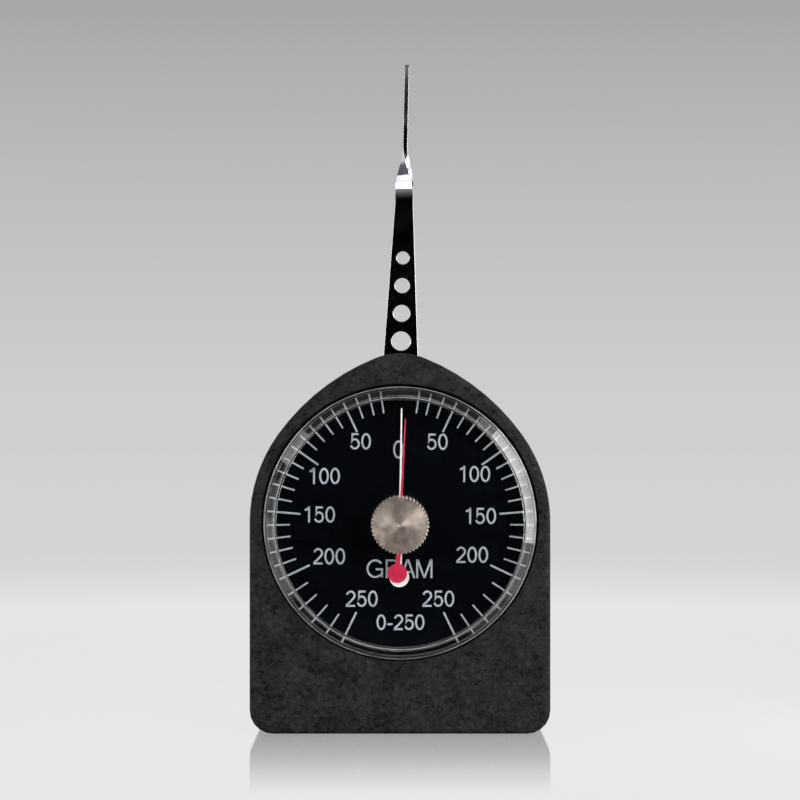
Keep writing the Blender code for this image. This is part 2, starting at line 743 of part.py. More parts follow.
def make_crystal_gasket(material, axis):
    """Rubber ring between the crystal's foot and the dial."""
    outer = crystal_base_radius()
    profile = tube_profile(outer, outer - CRYSTAL_WALL, GASKET_FRONT, GASKET_BACK)
    return turned_piece("crystal_gasket", profile, LARGE_SIDES, material, axis)


def make_crystal(material, axis):
    """Clear cup with a tapered shoulder, a flat face and a hole for the spindle's bush."""
    outer = crystal_base_radius()
    inner = outer - CRYSTAL_WALL
    face_radius = outer - CRYSTAL_TAPER
    inner_depth = CRYSTAL_INNER_TAPER * CRYSTAL_TAPER_DEPTH / CRYSTAL_TAPER
    profile = [(bush_radius() + FINE_GAP, CRYSTAL_FRONT)]
    for step in range(CRYSTAL_EDGE_STEPS + 1):
        tilt = math.pi / 2 * step / CRYSTAL_EDGE_STEPS
        inset = CRYSTAL_EDGE_RADIUS * (1 - math.sin(tilt))
        fall = CRYSTAL_EDGE_RADIUS * (1 - math.cos(tilt))
        profile.append((face_radius - inset, CRYSTAL_FRONT + fall))
    profile += [
        (outer, CRYSTAL_FRONT + CRYSTAL_TAPER_DEPTH),
        (outer, CRYSTAL_BACK),
        (inner, CRYSTAL_BACK),
        (inner, CRYSTAL_INNER + inner_depth),
        (inner - CRYSTAL_INNER_TAPER, CRYSTAL_INNER),
        (bush_radius() + FINE_GAP, CRYSTAL_INNER),
    ]
    return turned_piece("crystal", profile, LARGE_SIDES, material, axis)


def bush_radius():
    """Outer radius of the spindle's bush."""
    return SPINDLE_RADIUS + RUNNING_GAP + BUSH_WALL


def make_spindle_bush(material, axis):
    """Flanged bush through the crystal, in which the knob's spindle turns."""
    bore = SPINDLE_RADIUS + RUNNING_GAP
    profile = [
        (bore, FLANGE_FRONT),
        (BUSH_FLANGE_RADIUS, FLANGE_FRONT),
        (BUSH_FLANGE_RADIUS, FLANGE_BACK),
        (bush_radius(), FLANGE_BACK),
        (bush_radius(), BUSH_BACK),
        (bore, BUSH_BACK),
    ]
    return turned_piece("spindle_bush", profile, MIDDLE_SIDES, material, axis)


def make_bush_nut(material, axis):
    """Hexagon nut that clamps the bush to the crystal."""
    hexagon = circle(BUSH_NUT_RADIUS, HEXAGON_SIDES)
    nut = plate_piece("bush_nut", hexagon, NUT_FRONT, NUT_BACK, material, axis)
    hole = bush_radius() + FINE_GAP
    drill(nut, (0, 0), hole, NUT_FRONT - CUT_OVERRUN, NUT_BACK + CUT_OVERRUN, MIDDLE_SIDES)
    return nut


def make_friction_washer(material, axis):
    """Washer that holds the knob where it is set."""
    bore = SPINDLE_RADIUS + FINE_GAP
    profile = tube_profile(FRICTION_WASHER_RADIUS, bore, WASHER_FRONT, WASHER_BACK)
    return turned_piece("friction_washer", profile, MIDDLE_SIDES, material, axis)


def make_reset_knob(material, axis):
    """Knurled knob with a shallow cone on its face and a blind bore at its back."""
    bore = SPINDLE_RADIUS + FINE_GAP
    bore_front = KNOB_BACK - KNOB_BORE_DEPTH
    plain = KNOB_RADIUS - KNURL_DEPTH - KNOB_CHAMFER
    cone_top = KNOB_FRONT - KNOB_CONE_HEIGHT
    rows = [
        (KNOB_POINT_RADIUS, cone_top, 0),
        (plain, KNOB_FRONT, 0),
        (KNOB_RADIUS, KNOB_FRONT + KNOB_CHAMFER, KNURL_DEPTH),
        (KNOB_RADIUS, KNOB_BACK - KNOB_CHAMFER, KNURL_DEPTH),
        (plain, KNOB_BACK, 0),
    ]
    loops = []
    for radius, depth, knurl in rows:
        loop = []
        for index in range(2 * KNURL_COUNT):
            angle = math.pi * index / KNURL_COUNT
            x, z = circle_point(radius - knurl * (index % 2), angle)
            loop.append((x, world_depth(depth), z))
        loops.append(loop)
    mesh = bmesh.new()
    add_loft(mesh, loops)
    knob = make_object("reset_knob", mesh, material, axis)
    drill(knob, (0, 0), bore, bore_front, KNOB_BACK + CUT_OVERRUN)
    point = [
        (0, cone_top + KNOB_POINT_DEPTH),
        (KNOB_POINT_RADIUS, cone_top - KNOB_POINT_DEPTH),
        (0, cone_top - KNOB_POINT_DEPTH),
    ]
    dimple = turned_piece("knob_centre", point, SMALL_SIDES, material, axis)
    combine(knob, dimple, "DIFFERENCE")
    return knob


def make_knob_spindle(material, axis):
    """Headed pin that joins the knob to the peak pointer."""
    front = KNOB_BACK - KNOB_BORE_DEPTH + FINE_GAP
    head_front = SPINDLE_BACK - SPINDLE_HEAD_THICKNESS
    profile = [
        (0, front),
        (SPINDLE_RADIUS, front),
        (SPINDLE_RADIUS, head_front),
        (SPINDLE_HEAD_RADIUS, head_front),
        (SPINDLE_HEAD_RADIUS, SPINDLE_BACK),
        (0, SPINDLE_BACK),
    ]
    return turned_piece("knob_spindle", profile, SMALL_SIDES, material, axis)


# Pointers


def pointer_outline(length, base_width, tip_width, hub_radius, neck, tail_reach, tail_radius):
    """A tapered needle, a round hub, a neck and a disc at the tail, about the hub's centre."""
    needle_angle = math.asin(base_width / 2 / hub_radius)
    neck_angle = math.asin(neck / 2 / hub_radius)
    tail_angle = math.asin(neck / 2 / tail_radius)
    right = [(tip_width / 2, length)]
    right += arc((0, 0), hub_radius, needle_angle, math.pi - neck_angle, MIDDLE_SIDES // 4)
    tail = arc(
        (0, -tail_reach), tail_radius, tail_angle, math.pi, MIDDLE_SIDES // 2
    )
    right += tail
    left = [(-x, z) for x, z in reversed(right[:-1])]
    return right + left


def make_main_pointer(material, axis):
    """White needle with a disc at its tail."""
    outline = pointer_outline(
        MAIN_POINTER_LENGTH,
        MAIN_POINTER_BASE_WIDTH,
        MAIN_POINTER_TIP_WIDTH,
        POINTER_BOSS_RADIUS,
        MAIN_TAIL_NECK,
        MAIN_TAIL_REACH,
        MAIN_TAIL_RADIUS,
    )
    pointer = plate_piece(
        "main_pointer",
        outline,
        MAIN_POINTER_FRONT,
        MAIN_POINTER_BACK,
        material,
        axis,
        turn_deg=MAIN_POINTER_REST_DEG,
    )
    hole = POINTER_STEM_RADIUS + FINE_GAP
    front = MAIN_POINTER_FRONT - CUT_OVERRUN
    drill(pointer, (0, 0), hole, front, MAIN_POINTER_BACK + CUT_OVERRUN)
    return pointer


def drag_pin_turn_deg():
    """Angle of the drag pin at rest, just anticlockwise of the main pointer's needle."""
    aside = MAIN_POINTER_BASE_WIDTH / 2 + DRAG_PIN_RADIUS + FINE_GAP
    return MAIN_POINTER_REST_DEG - math.degrees(math.asin(aside / DRAG_PIN_REACH))


def make_pointer_hub(material, axis):
    """Disc behind the main pointer that carries the drag pin."""
    bore = POINTER_STEM_RADIUS + FINE_GAP
    profile = tube_profile(POINTER_HUB_RADIUS, bore, HUB_FRONT, HUB_BACK)
    turn = drag_pin_turn_deg()
    hub = turned_piece(
        "pointer_hub", profile, MIDDLE_SIDES, material, axis, turn_deg=turn
    )
    pin_place = (0, DRAG_PIN_REACH)
    front = HUB_FRONT - CUT_OVERRUN
    drill(hub, pin_place, DRAG_PIN_RADIUS + FINE_GAP, front, HUB_BACK + CUT_OVERRUN)
    return hub


def make_drag_pin(material, axis):
    """Pin that pushes the peak pointer's dog round."""
    x, z = circle_point(DRAG_PIN_REACH, math.radians(drag_pin_turn_deg()))
    profile = [
        (0, DOG_FRONT),
        (DRAG_PIN_RADIUS, DOG_FRONT),
        (DRAG_PIN_RADIUS, HUB_BACK),
        (0, HUB_BACK),
    ]
    return turned_piece("drag_pin", profile, SMALL_SIDES // 2, material, axis, (x, z))


def drag_dog_half_width():
    """Half the dog's width, which just clears the drag pin at rest."""
    turn = math.radians(PEAK_POINTER_REST_DEG - drag_pin_turn_deg())
    return DRAG_PIN_REACH * math.sin(turn) - DRAG_PIN_RADIUS - 2 * FINE_GAP


def make_drag_dog(material, axis):
    """Finger behind the peak pointer that the drag pin pushes."""
    half_width = drag_dog_half_width()
    side_angle = math.asin(half_width / SPINDLE_HEAD_RADIUS)
    reach = DRAG_PIN_REACH + DRAG_PIN_RADIUS + DRAG_DOG_OVERREACH
    outline = [(-half_width, reach), (half_width, reach)]
    round_end = 2 * math.pi - side_angle
    outline += arc((0, 0), SPINDLE_HEAD_RADIUS, side_angle, round_end, SMALL_SIDES)
    turn = PEAK_POINTER_REST_DEG
    dog = plate_piece(
        "drag_dog", outline, DOG_FRONT, DOG_BACK, material, axis, turn_deg=turn
    )
    hole = SPINDLE_RADIUS + FINE_GAP
    drill(dog, (0, 0), hole, DOG_FRONT - CUT_OVERRUN, DOG_BACK + CUT_OVERRUN)
    return dog


def make_peak_pointer(material, axis):
    """Crimson needle with a disc at its tail, in front of the white one."""
    outline = pointer_outline(
        PEAK_POINTER_LENGTH,
        PEAK_POINTER_BASE_WIDTH,
        PEAK_POINTER_TIP_WIDTH,
        PEAK_BOSS_RADIUS + 2 * FINE_GAP,
        PEAK_TAIL_NECK,
        PEAK_TAIL_REACH,
        PEAK_TAIL_RADIUS,
    )
    pointer = plate_piece(
        "peak_pointer",
        outline,
        PEAK_POINTER_FRONT,
        PEAK_POINTER_BACK,
        material,
        axis,
        turn_deg=PEAK_POINTER_REST_DEG,
    )
    barrel = peak_boss_barrel_radius() + FINE_GAP
    front = PEAK_POINTER_FRONT - CUT_OVERRUN
    drill(pointer, (0, 0), barrel, front, PEAK_POINTER_BACK + CUT_OVERRUN)
    return pointer


def peak_boss_barrel_radius():
    """Radius of the part of the peak boss that passes through the pointer."""
    return (SPINDLE_RADIUS + PEAK_BOSS_RADIUS) / 2


def make_peak_boss(material, axis):
    """Shouldered collar that fixes the peak pointer to the spindle."""
    bore = SPINDLE_RADIUS + FINE_GAP
    profile = [
        (bore, PEAK_BOSS_FRONT),
        (PEAK_BOSS_RADIUS, PEAK_BOSS_FRONT),
        (PEAK_BOSS_RADIUS, PEAK_POINTER_FRONT - FINE_GAP),
        (peak_boss_barrel_radius(), PEAK_POINTER_FRONT - FINE_GAP),
        (peak_boss_barrel_radius(), PEAK_BOSS_BACK),
        (bore, PEAK_BOSS_BACK),
    ]
    return turned_piece("peak_boss", profile, SMALL_SIDES, material, axis)


# Gears


def involute_turn(base_radius, radius):
    """Angle by which an involute has turned away at a radius."""
    if radius <= base_radius:
        return 0
    roll = math.sqrt((radius / base_radius) ** 2 - 1)
    return roll - math.atan(roll)


def tooth_flank(teeth, addendum_share):
    """(radius, half angle) pairs of one tooth's flank, from its root to its tip."""
    pitch_radius = GEAR_MODULE * teeth / 2
    base_radius = pitch_radius * math.cos(math.radians(PRESSURE_ANGLE_DEG))
    root_radius = pitch_radius - GEAR_MODULE * DEDENDUM_SHARE
    tip_radius = pitch_radius + GEAR_MODULE * addendum_share
    thickness = GEAR_MODULE * (math.pi / 2 - BACKLASH_SHARE)
    pitch_half_angle = thickness / 2 / pitch_radius
    start_radius = max(base_radius, root_radius)
    radii = [root_radius]
    for step in range(FLANK_STEPS + 1):
        radii.append(start_radius + (tip_radius - start_radius) * step / FLANK_STEPS)
    if root_radius >= base_radius:
        radii = radii[1:]
    pitch_turn = involute_turn(base_radius, pitch_radius)
    flank = []
    for radius in radii:
        turn = pitch_turn - involute_turn(base_radius, radius)
        flank.append((radius, pitch_half_angle + turn))
    return flank


def tooth_points(flank, angle):
    """Points of one tooth, clockwise, about an angle measured from straight up."""
    rising = [circle_point(radius, angle - half) for radius, half in flank]
    falling = [circle_point(radius, angle + half) for radius, half in reversed(flank)]
    return rising + falling


def make_pinion(material, axis):
    """Small gear on the pointer arbor, with one tooth straight up at rest."""
    flank = tooth_flank(PINION_TEETH, PINION_ADDENDUM_SHARE)
    outline = []
    for tooth in range(PINION_TEETH):
        outline += tooth_points(flank, 2 * math.pi * tooth / PINION_TEETH)
    pinion = plate_piece("pinion", outline, PINION_FRONT, PINION_BACK, material, axis)
    bore = POINTER_ARBOR_RADIUS + FINE_GAP
    drill(pinion, (0, 0), bore, PINION_FRONT - CUT_OVERRUN, PINION_BACK + CUT_OVERRUN)
    return pinion


def window_outline(start, end, start_spoke, end_spoke, inner_radius, outer_radius):
    """A lightening hole between two spokes, about the lever's axis."""
    outer_start = start + math.asin(start_spoke / outer_radius)
    outer_end = end - math.asin(end_spoke / outer_radius)
    inner_start = start + math.asin(start_spoke / inner_radius)
    inner_end = end - math.asin(end_spoke / inner_radius)
    outer = arc((0, 0), outer_radius, outer_start, outer_end, SMALL_SIDES // 4)
    inner = arc((0, 0), inner_radius, inner_end, inner_start, SMALL_SIDES // 8)
    return outer + inner


def make_sector_gear(material, axis):
    """Toothed sector hanging from the lever arbor, with two lightening holes."""
    flank = tooth_flank(SECTOR_WHEEL_TEETH, SECTOR_ADDENDUM_SHARE)
    tooth_angle = 2 * math.pi / SECTOR_WHEEL_TEETH
    root_radius = flank[0][0]
    start = math.pi - SECTOR_HALF_ANGLE
    end = math.pi + SECTOR_HALF_ANGLE
    outline = [circle_point(root_radius, start)]
    for tooth in range(SECTOR_TEETH):
        offset = (tooth + 1 / 2 - SECTOR_TEETH / 2) * tooth_angle
        outline += tooth_points(flank, math.pi + offset)
    outline.append(circle_point(root_radius, end))
    head_end = 2 * math.pi + start
    outline += arc((0, 0), SECTOR_HEAD_RADIUS, end, head_end, MIDDLE_SIDES // 2)
    sector = plate_piece("sector_gear", outline, SECTOR_FRONT, SECTOR_BACK, material, axis)
    front = SECTOR_FRONT - CUT_OVERRUN
    back = SECTOR_BACK + CUT_OVERRUN
    drill(sector, (0, 0), SECTOR_HUB_RADIUS + FINE_GAP, front, back)
    for place in rivet_places(0):
        drill(sector, place, RIVET_RADIUS + FINE_GAP, front, back, SMALL_SIDES // 2)
    edge = SECTOR_SPOKE_WIDTH
    middle = SECTOR_SPOKE_WIDTH / 2
    inner_radius = SECTOR_WINDOW_INNER_RADIUS
    outer_radius = root_radius - SECTOR_RIM_WIDTH
    for span in ((start, math.pi, edge, middle), (math.pi, end, middle, edge)):
        mesh = bmesh.new()
        add_plate(mesh, window_outline(*span, inner_radius, outer_radius), front, back)
        window = make_object("sector_window", mesh, material, axis)
        combine(sector, window, "DIFFERENCE")
    return sector


def make_sector_hub(material, axis):
    """Flanged bush between the sector and the lever arm."""
    bore = LEVER_ARBOR_RADIUS + FINE_GAP
    profile = [
        (bore, SECTOR_FRONT),
        (SECTOR_HUB_RADIUS, SECTOR_FRONT),
        (SECTOR_HUB_RADIUS, SECTOR_FLANGE_FRONT),
        (SECTOR_HUB_FLANGE_RADIUS, SECTOR_FLANGE_FRONT),
        (SECTOR_HUB_FLANGE_RADIUS, SECTOR_FLANGE_BACK),
        (bore, SECTOR_FLANGE_BACK),
    ]
    hub = turned_piece("sector_hub", profile, SMALL_SIDES, material, axis)
    front = SECTOR_FLANGE_FRONT - CUT_OVERRUN
    back = SECTOR_FLANGE_BACK + CUT_OVERRUN
    for place in rivet_places(0):
        drill(hub, place, RIVET_RADIUS + FINE_GAP, front, back, SMALL_SIDES // 2)
    return hub


# Lever


def rivet_places(turn_deg):
    """Centres of the lever's two rivets, seen from a piece that is turned by an angle."""
    side = math.pi / 2
    turn = math.radians(turn_deg)
    return [circle_point(RIVET_REACH, angle - turn) for angle in (-side, side)]


def arm_section(reach, width, twist):
    """Corners of the arm's chamfered cross-section at a distance from the pivot."""
    way_up = min(max(reach / (ARM_TWIST_START + ARM_TWIST_LENGTH), 0), 1)
    edge_share = 1 + (ARM_TIP_EDGE_SHARE - 1) * way_up
    edge_width = ARM_EDGE_WIDTH * edge_share
    edge_depth = ARM_EDGE_DEPTH * edge_share
    section = []
    for across, through in ((-1, -1), (1, -1), (1, 1), (-1, 1)):
        flat = (across * (width / 2 - edge_width), through * ARM_THICKNESS / 2)
        side = (across * width / 2, through * (ARM_THICKNESS / 2 - edge_depth))
        section += [side, flat] if across == through else [flat, side]
    corners = []
    for x, y in section:
        turned_x = x * math.cos(twist) - y * math.sin(twist)
        turned_y = x * math.sin(twist) + y * math.cos(twist)
        corners.append((turned_x, world_depth(ARM_PLANE_DEPTH) + turned_y, reach))
    return corners


def arm_sections():
    """Cross-sections of the arm from its round tail to its chamfered tip."""
    sections = []
    tail_radius = ARM_ROOT_WIDTH / 2
    for step in range(1, ARM_TAIL_STEPS + 1):
        angle = math.pi / 2 * step / ARM_TAIL_STEPS
        half_width = tail_radius * math.sin(angle)
        sections.append(arm_section(-tail_radius * math.cos(angle), 2 * half_width, 0))
    for step in range(ARM_TWIST_STEPS + 1):
        share = step / ARM_TWIST_STEPS
        twist = math.radians(ARM_TWIST_DEG) * share * share * (3 - 2 * share)
        reach = ARM_TWIST_START + ARM_TWIST_LENGTH * share
        sections.append(arm_section(reach, arm_width(reach), twist))
    twist = math.radians(ARM_TWIST_DEG)
    chamfer_reach = ARM_REACH - ARM_TIP_CHAMFER
    sections.append(arm_section(chamfer_reach, arm_width(chamfer_reach), twist))
    sections.append(arm_section(ARM_REACH, ARM_TIP_WIDTH - 2 * ARM_TIP_CHAMFER, twist))
    return sections


def arm_width(reach):
    """Width of the blade at a distance from the pivot."""
    if reach <= ARM_TWIST_START:
        taper = (ARM_NECK_WIDTH - ARM_ROOT_WIDTH) / ARM_TWIST_START
        return ARM_ROOT_WIDTH + taper * reach
    share = (reach - ARM_TWIST_START) / (ARM_REACH - ARM_TWIST_START)
    return ARM_NECK_WIDTH + (ARM_TIP_WIDTH - ARM_NECK_WIDTH) * share


def make_lever_arm(material, axis):
    """Tapered blade with a row of lightening holes and a quarter twist near its end."""
    mesh = bmesh.new()
    add_loft(mesh, arm_sections())
    arm = make_object("lever_arm", mesh, material, axis, turn_deg=ARM_REST_DEG)
    front = ARM_FRONT - CUT_OVERRUN
    back = ARM_BACK + CUT_OVERRUN
    drill(arm, (0, 0), LEVER_ARBOR_RADIUS + FINE_GAP, front, back)
    for place in rivet_places(ARM_REST_DEG):
        drill(arm, place, RIVET_RADIUS + FINE_GAP, front, back, SMALL_SIDES // 2)
    for index, diameter in enumerate(ARM_HOLE_DIAMETERS):
        reach = ARM_FIRST_HOLE_REACH + index * ARM_HOLE_PITCH
        drill(arm, (0, reach), diameter / 2, front, back, MIDDLE_SIDES)
    return arm


def make_lever_arbor(material, axis):
    """Steel arbor that runs in the two lever bushes."""
    profile = [
        (0, PLATE_FRONT),
        (LEVER_PIVOT_RADIUS, PLATE_FRONT),
        (LEVER_PIVOT_RADIUS, ARBOR_SHOULDER_FRONT),
        (LEVER_ARBOR_RADIUS, ARBOR_SHOULDER_FRONT),
        (LEVER_ARBOR_RADIUS, ARBOR_SHOULDER_BACK),
        (LEVER_PIVOT_RADIUS, ARBOR_SHOULDER_BACK),
        (LEVER_PIVOT_RADIUS, BRIDGE_BACK),
        (0, BRIDGE_BACK),
    ]
    return turned_piece("lever_arbor", profile, SMALL_SIDES, material, axis)


def spring_top():
    """Height of the leaf spring's upper end, about the lever's axis."""
    return SPRING_SEAT_DEPTH - LEVER_HUB_RADIUS


def make_lever_hub(material, axis):
    """Flanged hub behind the arm, slotted for the leaf spring."""
    bore = LEVER_ARBOR_RADIUS + FINE_GAP
    profile = [
        (bore, HUB_FLANGE_FRONT),
        (LEVER_HUB_FLANGE_RADIUS, HUB_FLANGE_FRONT),
        (LEVER_HUB_FLANGE_RADIUS, HUB_FLANGE_BACK),
        (LEVER_HUB_RADIUS, HUB_FLANGE_BACK),
        (LEVER_HUB_RADIUS, LEVER_HUB_BACK),
        (bore, LEVER_HUB_BACK),
    ]
    hub = turned_piece("lever_hub", profile, SMALL_SIDES, material, axis)
    front = HUB_FLANGE_FRONT - CUT_OVERRUN
    back = HUB_FLANGE_BACK + CUT_OVERRUN
    for place in rivet_places(0):
        drill(hub, place, RIVET_RADIUS + FINE_GAP, front, back, SMALL_SIDES // 2)
    slot_top = spring_top() + FINE_GAP
    slot_bottom = -LEVER_HUB_RADIUS - CUT_OVERRUN
    slot_front = HUB_FLANGE_BACK - FINE_GAP
    slot_back = LEVER_HUB_BACK + CUT_OVERRUN
    cut_box(
        hub,
        (0, world_depth((slot_front + slot_back) / 2), (slot_top + slot_bottom) / 2),
        (SPRING_THICKNESS + 2 * FINE_GAP, slot_back - slot_front, slot_top - slot_bottom),
    )
    return hub


def make_lever_rivets(material, axis):
    """Two rivets through the sector, the arm and the lever hub."""
    front_seat = SECTOR_FRONT - FINE_GAP
    back_seat = HUB_FLANGE_BACK + FINE_GAP
    profile = [
        (0, front_seat - RIVET_HEAD_HEIGHT),
        (RIVET_HEAD_RADIUS, front_seat - RIVET_HEAD_HEIGHT),
        (RIVET_HEAD_RADIUS, front_seat),
        (RIVET_RADIUS, front_seat),
        (RIVET_RADIUS, back_seat),
        (RIVET_HEAD_RADIUS, back_seat),
        (RIVET_HEAD_RADIUS, back_seat + RIVET_HEAD_HEIGHT),
        (0, back_seat + RIVET_HEAD_HEIGHT),
    ]
    for index, place in enumerate(rivet_places(0)):
        name = f"lever_rivet_{index + 1}"
        turned_piece(name, profile, SMALL_SIDES // 2, material, axis, place)


def anchor_bottom():
    """Height of the spring anchor's lower face, about the dial's centre."""
    return HAIRSPRING_OUTER_RADIUS + ANCHOR_CLEARANCE


def make_measuring_spring(material, axis):
    """Leaf spring from the lever hub down to the anchor's slot."""
    half = SPRING_THICKNESS / 2
    top = spring_top()
    bottom = anchor_bottom() + FINE_GAP - CENTRE_DISTANCE
    outline = [(half, top), (half, bottom), (-half, bottom), (-half, top)]
    return plate_piece(
        "measuring_spring", outline, SPRING_FRONT, SPRING_BACK, material, axis
    )


# Pointer arbor and hairspring


def make_pointer_arbor(material, axis):
    """Steel arbor from the rear bridge through the dial to the main pointer."""
    profile = [
        (0, POINTER_ARBOR_FRONT),
        (POINTER_STEM_RADIUS, POINTER_ARBOR_FRONT),
        (POINTER_STEM_RADIUS, ARBOR_SHOULDER_FRONT),
        (POINTER_ARBOR_RADIUS, ARBOR_SHOULDER_FRONT),
        (POINTER_ARBOR_RADIUS, ARBOR_SHOULDER_BACK),
        (POINTER_PIVOT_RADIUS, ARBOR_SHOULDER_BACK),
        (POINTER_PIVOT_RADIUS, BRIDGE_BACK),
        (0, BRIDGE_BACK),
    ]
    return turned_piece("pointer_arbor", profile, SMALL_SIDES, material, axis)


def make_hairspring_collet(material, axis):
    """Collar on the pointer arbor that grips the hairspring's inner end."""
    bore = POINTER_ARBOR_RADIUS + FINE_GAP
    profile = tube_profile(COLLET_RADIUS, bore, COLLET_FRONT, COLLET_BACK)
    return turned_piece("hairspring_collet", profile, SMALL_SIDES, material, axis)


def spiral_frame(step):
    """Centre, outward direction and forward direction of the spiral at a step."""
    turn = 2 * math.pi * step / HAIRSPRING_STEPS
    radius = HAIRSPRING_INNER_RADIUS + HAIRSPRING_PITCH * step / HAIRSPRING_STEPS
    outward = Vector(circle_point(1, turn))
    forward = Vector((outward.y, -outward.x))
    return outward * radius, outward, forward


def make_hairspring(material, axis):
    """Flat spiral from the collet out to its stud; prints the least gap between turns."""
    half = HAIRSPRING_THICKNESS / 2
    front = world_depth(HAIRSPRING_MIDDLE - HAIRSPRING_WIDTH / 2)
    back = world_depth(HAIRSPRING_MIDDLE + HAIRSPRING_WIDTH / 2)
    steps = HAIRSPRING_TURNS * HAIRSPRING_STEPS
    loops = []
    for step in range(steps + 1):
        centre, outward, _ = spiral_frame(step)
        inner = centre - outward * half
        outer = centre + outward * half
        loops.append(
            [
                (inner.x, front, inner.y),
                (outer.x, front, outer.y),
                (outer.x, back, outer.y),
                (inner.x, back, inner.y),
            ]
        )
    gaps = []
    for step in range(steps - HAIRSPRING_STEPS + 1):
        inner_turn = spiral_frame(step)[0].length
        outer_turn = spiral_frame(step + HAIRSPRING_STEPS)[0].length
        gaps.append(outer_turn - inner_turn - HAIRSPRING_THICKNESS)
    print(f"hairspring: least gap between turns {1000 * min(gaps):.2f} mm")
    mesh = bmesh.new()
    add_loft(mesh, loops)
    return make_object("hairspring", mesh, material, axis)


def stud_place():
    """Centre of the stud that holds the hairspring's outer end, about the dial's centre."""
    centre, _, forward = spiral_frame(HAIRSPRING_TURNS * HAIRSPRING_STEPS)
    place = centre + forward * (STUD_RADIUS + FINE_GAP)
    return (place.x, place.y)


def make_hairspring_stud(material, axis):
    """Stud in the bridge for the hairspring's outer end."""
    front = HAIRSPRING_MIDDLE - HAIRSPRING_WIDTH
    profile = [
        (0, front),
        (STUD_RADIUS, front),
        (STUD_RADIUS, BRIDGE_BACK),
        (0, BRIDGE_BACK),
    ]
    return turned_piece(
        "hairspring_stud", profile, SMALL_SIDES // 2, material, axis, stud_place()
    )


# Movement frame


def pillar_places():
    """Centres of the four pillars, about the dial's centre."""
    upper = CENTRE_DISTANCE - UPPER_PILLAR_BELOW_PIVOT
    lower = -LOWER_PILLAR_DROP
    return [
        (-UPPER_PILLAR_SPREAD, upper),
        (UPPER_PILLAR_SPREAD, upper),
        (LOWER_PILLAR_SPREAD, lower),
        (-LOWER_PILLAR_SPREAD, lower),
    ]


def anchor_screw_places():
    """Centres of the two screws that hold the spring anchor, about the dial's centre."""
    height = anchor_bottom() + ANCHOR_HEIGHT / 2
    return [(-ANCHOR_SCREW_SPREAD, height), (ANCHOR_SCREW_SPREAD, height)]


def stop_pin_places():
    """Centres of the pins that stop the sector, about the dial's centre."""
    aside = math.asin((STOP_PIN_RADIUS + STOP_PIN_GAP) / STOP_PIN_REACH)
    angle = SECTOR_HALF_ANGLE + LEVER_LIMIT + aside
    places = []
    for side in (-1, 1):
        x, z = circle_point(STOP_PIN_REACH, math.pi + side * angle)
        places.append((x, CENTRE_DISTANCE + z))
    return places


def rounded_outline(corners, radius):
    """Outline of a convex plate with round corners, given clockwise."""
    outline = []
    count = len(corners)
    for index, corner in enumerate(corners):
        before = Vector(corner) - Vector(corners[index - 1])
        after = Vector(corners[(index + 1) % count]) - Vector(corner)
        start = math.atan2(-before.y, before.x)
        end = math.atan2(-after.y, after.x)
        if end < start:
            end += 2 * math.pi
        outline += arc(corner, radius, start, end, SMALL_SIDES // 4)
    return outline


def make_movement_plate(material, axis):
    """Front plate of the movement, cut to the inside of the case and round its bosses."""
    outline = case_outline(CASE_WALL + PLATE_EDGE_GAP)
    plate = plate_piece("movement_plate", outline, PLATE_FRONT, PLATE_BACK, material, axis)
    front = PLATE_FRONT - CUT_OVERRUN
    back = PLATE_BACK + CUT_OVERRUN
    for place in boss_places():
        drill(plate, place, BOSS_RADIUS + PLATE_EDGE_GAP, front, back)
    for place in plate_screw_places():
        drill(plate, place, PLATE_SCREW_RADIUS + FINE_GAP, front, back)
    for place in ((0, 0), (0, CENTRE_DISTANCE)):
        drill(plate, place, ARBOR_BUSH_RADIUS + FINE_GAP, front, back)
    for place in pillar_places():
        drill(plate, place, PILLAR_TENON_RADIUS + FINE_GAP, front, back)
    for place in stop_pin_places():
        drill(plate, place, STOP_PIN_RADIUS + FINE_GAP, front, back)
    return plate


def make_movement_bridge(material, axis):
    """Rear bridge that carries the back ends of both arbors."""
    left_top, right_top, right_low, left_low = pillar_places()
    corners = [left_top, (0, CENTRE_DISTANCE), right_top, right_low, left_low]
    outline = rounded_outline(corners, BRIDGE_CORNER_RADIUS)
    name = "movement_bridge"
    bridge = plate_piece(name, outline, BRIDGE_FRONT, BRIDGE_BACK, material, axis)
    front = BRIDGE_FRONT - CUT_OVERRUN
    back = BRIDGE_BACK + CUT_OVERRUN
    for place in ((0, 0), (0, CENTRE_DISTANCE)):
        drill(bridge, place, ARBOR_BUSH_RADIUS + FINE_GAP, front, back)
    for place in pillar_places():
        drill(bridge, place, BRIDGE_SCREW_RADIUS + FINE_GAP, front, back)
    for place in anchor_screw_places():
        drill(bridge, place, ANCHOR_SCREW_RADIUS + FINE_GAP, front, back)
    drill(bridge, stud_place(), STUD_RADIUS + FINE_GAP, front, back)
    return bridge


def make_pillars(material, axis):
    """Four pillars with a tenon in the plate and a threaded hole for a bridge screw."""
    hole_radius = BRIDGE_SCREW_RADIUS + FINE_GAP
    hole_front = BRIDGE_BACK - BRIDGE_SCREW_LENGTH
    profile = [
        (0, PILLAR_FRONT - PILLAR_TENON_LENGTH),
        (PILLAR_TENON_RADIUS, PILLAR_FRONT - PILLAR_TENON_LENGTH),
        (PILLAR_TENON_RADIUS, PILLAR_FRONT),
        (PILLAR_RADIUS, PILLAR_FRONT),
        (PILLAR_RADIUS, PILLAR_BACK),
        (hole_radius, PILLAR_BACK),
        (hole_radius, hole_front),
        (0, hole_front),
    ]
    for index, place in enumerate(pillar_places()):
        name = f"pillar_{index + 1}"
        turned_piece(name, profile, SMALL_SIDES, material, axis, place)


